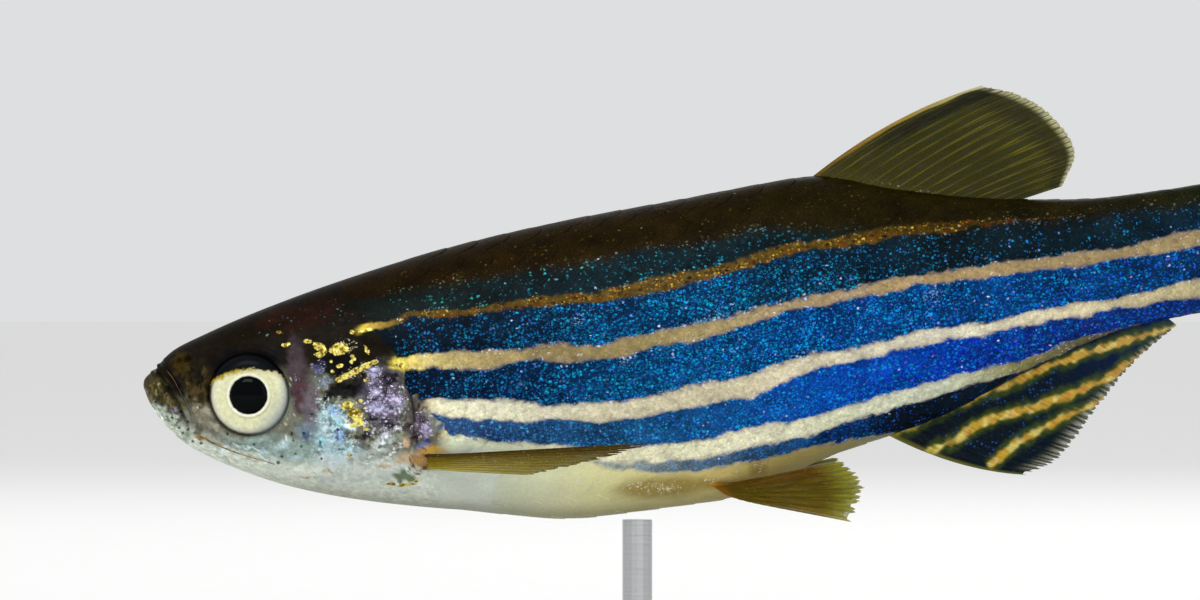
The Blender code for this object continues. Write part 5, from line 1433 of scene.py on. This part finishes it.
fin, shape, share, ray, place = fin_mesh(
    "fin_caudal_skin", caudal_ray, CAUDAL_RAYS, 0.035, 5, unforked=3, fork=(0.25, 0.55),
)
tint = tones(place + 0.012 * np.sin(share * 9 + place * 25), CAUDAL_BANDS)
tint = blend(tint, "#8E8A70", 0.55 * ease(share, 0.85, 1.0))
tint = blend(tint, "#C8BC90", 0.25 * ray * ease(share, 0.3, 0.9))
edge = ease(np.abs(place - 0.5), 0.43, 0.47)
clear = 0.96 - 0.55 * edge * (1 - 0.6 * ray) - 0.40 * ease(share, 0.84, 1.0) * (1 - 0.7 * ray)
paint_fin(fin, shape, tint, clear, 0.5 * (1 - edge))
finish_fin(fin, striped_fin, "fin_caudal")

# Paired fins: amber skin with dark fine rays. Pectoral rays leave the body behind the gills and
# sweep back and out; pelvic rays leave the belly and fan down
FIN_RISE = 0.82
PECTORAL_BASE, PECTORAL_RAYS = ((7.78, -3.16), (7.84, -3.56)), 10
PECTORAL_TIPS = ((14.9, 4.10, -3.74), (13.2, 3.35, -4.02), (11.2, 2.75, -4.20))
PELVIC_BASE, PELVIC_RAYS = ((16.75, -5.62), (16.35, -5.28)), 7
PELVIC_TIPS = ((20.5, 1.45, -6.92), (21.05, 1.95, -6.0), (20.6, 2.40, -5.05))


def paired_ray(base, tips, rays):
    base = np.array(base)

    def on_ray(place, share):
        place, share = np.broadcast_arrays(place, share)
        t = place / (rays - 1)
        foot = base[0] + (base[1] - base[0]) * t[..., None]
        root, out = skin_at(foot[..., 0], foot[..., 1])
        tip, s = along(tips, t), share[..., None]
        start, back = root - out * 0.2, np.array((1.0, 0, 0)) - out * out[..., :1]
        low = root + out * 0.34 * FIN_RISE + back * 0.4
        high = root + (tip - root) * 0.32 + np.array((0, 0.9 * FIN_RISE, 0))
        return start * (1 - s) ** 3 + low * 3 * s * (1 - s) ** 2 + high * 3 * s * s * (1 - s) + tip * s**3

    return on_ray


amber_fin = fin_material("amber_fin_skin", "#F0E8C0")
for side, word in SIDES:
    swept = paired_ray(PECTORAL_BASE, PECTORAL_TIPS, PECTORAL_RAYS)
    fin, shape, share, ray, place = fin_mesh(
        "fin_pectoral_skin_" + word, swept, PECTORAL_RAYS, 0.03, 6, side, ridge=0.08, root=0.22,
    )
    tint = tones(place, (
        (0, "#4A3A10"), (.14, "#5A4814"), (.26, "#746016"), (.5, "#8C7A1E"), (.8, "#A29030"),
        (1, "#B4A648"),
    ))
    tint = blend(tint, "#2E240A", 0.70 * ray)
    tint = blend(tint, "#6A4C14", 0.7 * ease(share, 0.10, 0.02))
    clear = 0.97 - 0.30 * (1 - ray) * ease(share, 0.2, 0.6) * ease(place, 0.1, 0.4)
    clear = clear - 0.15 * ease(share, 0.85, 1)
    paint_fin(fin, shape, tint, clear, 0.10 + 0 * share)
    finish_fin(fin, amber_fin, "fin_pectoral_" + word)
    fanned = paired_ray(PELVIC_BASE, PELVIC_TIPS, PELVIC_RAYS)
    fin, shape, share, ray, place = fin_mesh(
        "fin_pelvic_skin_" + word, fanned, PELVIC_RAYS, 0.02, 8, side, ridge=0.06, root=0.15,
    )
    tint = tones(place, (
        (0, "#7A6414"), (.3, "#6E5E14"), (.65, "#6A5A14"), (.85, "#6E5010"), (1, "#66460E"),
    ))
    tint = blend(tint, "#3A300A", 0.75 * ray * ease(share, 0.15, 0.4))
    tint = blend(tint, "#B07420", 0.9 * ease(share, 0.36, 0.08))
    tint = blend(tint, "#A8AC3C", 0.6 * ease(share, 0.85, 1.0))
    clear = 0.97 - 0.30 * (1 - ray) * ease(share, 0.3, 0.7) - 0.15 * ease(share, 0.9, 1)
    paint_fin(fin, shape, tint, clear, 0.08 + 0 * share)
    finish_fin(fin, amber_fin, "fin_pelvic_" + word)

# Stand. A flat block of walnut, planed, bevelled and oiled, and one rod of brushed steel that ends
# just under the belly. Both are the solids themselves and only get their finish here.

# warm dark brown, with the soft sheen of oil
walnut, tree, shader = new_material("oiled_walnut", IOR=1.5, Coat_Weight=0.15, Coat_Roughness=0.3)
here = add(tree, "TexCoord").outputs["Object"]
# walnut's growth rings stand about 1.5 mm apart, and its pores are 0.2 mm wide and run with the grain
lengthways = add(tree, "Mapping", {0: here, "Scale": (60.0, 420.0, 420.0)})
grain = add(tree, "TexNoise", {
    "Vector": lengthways, "Scale": 1.0, "Detail": 6.0, "Roughness": 0.6, "Distortion": 0.6,
})
ringed = add(tree, "Mapping", {0: here, "Scale": (12.0, 150.0, 120.0)})
rings_of = add(tree, "TexWave", {
    "Vector": ringed, "Scale": 1.0, "Distortion": 9.0, "Detail": 3.0, "Detail Scale": 1.2,
}, wave_type="BANDS", bands_direction="Y").outputs["Fac"]
wood = add(tree, "Mix", {0: rings_of, 6: "#442A1B", 7: "#5F3E28"}, data_type="RGBA")
wood_by = add(tree, "MapRange", {0: grain, 1: 0.3, 2: 0.7, 3: 0.72, 4: 1.2})
wood = add(tree, "VectorMath", {0: wood, "Scale": wood_by}, operation="SCALE")
drawn_out = add(tree, "Mapping", {0: here, "Scale": (700.0, 4200.0, 4200.0)})
pores = add(tree, "TexVoronoi", {"Vector": drawn_out, "Scale": 1.0})
pore = add(tree, "MapRange", {0: pores, 1: 0.28, 2: 0.12})
pore_dark = add(tree, "Math", {0: pore, 1: 0.7}, operation="MULTIPLY")
wood = add(tree, "Mix", {0: pore_dark, 6: wood, 7: "#1E110A"}, data_type="RGBA")
oiled = add(tree, "MapRange", {0: grain, 1: 0.3, 2: 0.7, 3: 0.34, 4: 0.48})
wood_height = add(tree, "Math", {0: pore, 1: -1.0, 2: grain}, operation="MULTIPLY_ADD")
wood_bump = add(tree, "Bump", {"Height": wood_height, "Strength": 0.4, "Distance": 0.00003})
feed(shader, {"Base Color": wood, "Roughness": oiled, "Normal": wood_bump})

steel, tree, shader = new_material("brushed_stainless_steel", Metallic=1.0)
here = add(tree, "TexCoord").outputs["Object"]
# brushed round the rod: hairlines 0.05 mm apart, seen as fine rings that spread the highlight
turned_lines = add(tree, "Mapping", {0: here, "Scale": (500.0, 500.0, 16000.0)})
hair = add(tree, "TexNoise", {"Vector": turned_lines, "Scale": 1.0, "Detail": 4.0, "Roughness": 0.6})
grey = add(tree, "Mix", {0: hair, 6: "#9A9C9E", 7: "#C8C9CA"}, data_type="RGBA")
brushed = add(tree, "MapRange", {0: hair, 1: 0.3, 2: 0.7, 3: 0.24, 4: 0.42})
lines_bump = add(tree, "Bump", {"Height": hair, "Strength": 0.25, "Distance": 0.000008})
feed(shader, {"Base Color": grey, "Roughness": brushed, "Normal": lines_bump})
for node, finish in (("stand_base", walnut), ("stand_rod", steel)):
    solid = frame["nodes"][node]
    for slot in solid.material_slots:
        slot.material = finish

# Floor, lights and camera. A wide round floor of matt white paper lies under the stand, in an even
# pale room with soft boxes over it. The camera looks straight at the fish's left side.

FLOOR_RADIUS, FLOOR_SIDES = 6.0, 96  # metres
around = np.linspace(0, math.tau, FLOOR_SIDES + 1)[:-1]
floor_points = [(FLOOR_RADIUS * math.cos(a), FLOOR_RADIUS * math.sin(a), 0.0) for a in around]
floor_mesh = bpy.data.meshes.new("paper_floor")
floor_mesh.from_pydata(floor_points, [], [tuple(range(len(floor_points)))])
floor = set_down("paper_floor", floor_mesh)
paper, tree, shader = new_material("matt_paper", Roughness=0.9, Specular_IOR_Level=0.1)
# paper fibres clump about 1.5 mm apart, too faint to see as more than a slight unevenness
here = add(tree, "TexCoord").outputs["Object"]
fibre = add(tree, "TexNoise", {"Vector": here, "Scale": 700.0})
felt = add(tree, "Mix", {0: fibre, 6: "#F8F8F6", 7: "#FCFCFA"}, data_type="RGBA")
feed(shader, {"Base Color": felt})
floor_mesh.materials.append(paper)


def soft_box(name, place, size, watts, aim=(0.0, 0.0, 0.014)):
    light = bpy.data.lights.new(name, "AREA")
    light.shape, light.size, light.energy = "SQUARE", size, watts
    lamp = set_down(name, light)
    lamp.location = place
    lamp.rotation_euler = (Vector(aim) - Vector(place)).to_track_quat("-Z", "Y").to_euler()


soft_box("key_light", (-0.10, -0.30, 0.26), 0.16, 0.66)
soft_box("fill_light", (0.24, -0.28, 0.10), 0.20, 0.14)
soft_box("back_light", (0.06, 0.30, 0.24), 0.18, 0.22)

room = bpy.data.worlds.new("pale_room")
room.use_nodes = True
feed(room.node_tree.nodes["Background"], {"Color": "#F0F1F2", "Strength": 0.84})
bpy.context.scene.world = room
bpy.context.scene.view_settings.view_transform = "Standard"

VIEW_WIDTH = 36.2  # millimetres across the picture at the fish's mid plane
VIEW_MIDDLE = (-1.126, 16.374)  # x and height, in millimetres
LENS, SENSOR = 200.0, 36.0
camera = bpy.data.cameras.new("camera")
camera.lens, camera.sensor_width = LENS, SENSOR
camera.clip_start, camera.clip_end = 0.01, 5.0
eye_point = set_down("camera", camera)
eye_point.location = (VIEW_MIDDLE[0] * 0.001, -VIEW_WIDTH * LENS / SENSOR * 0.001, VIEW_MIDDLE[1] * 0.001)
eye_point.rotation_euler = (math.pi / 2, 0, 0)
bpy.context.scene.camera = eye_point
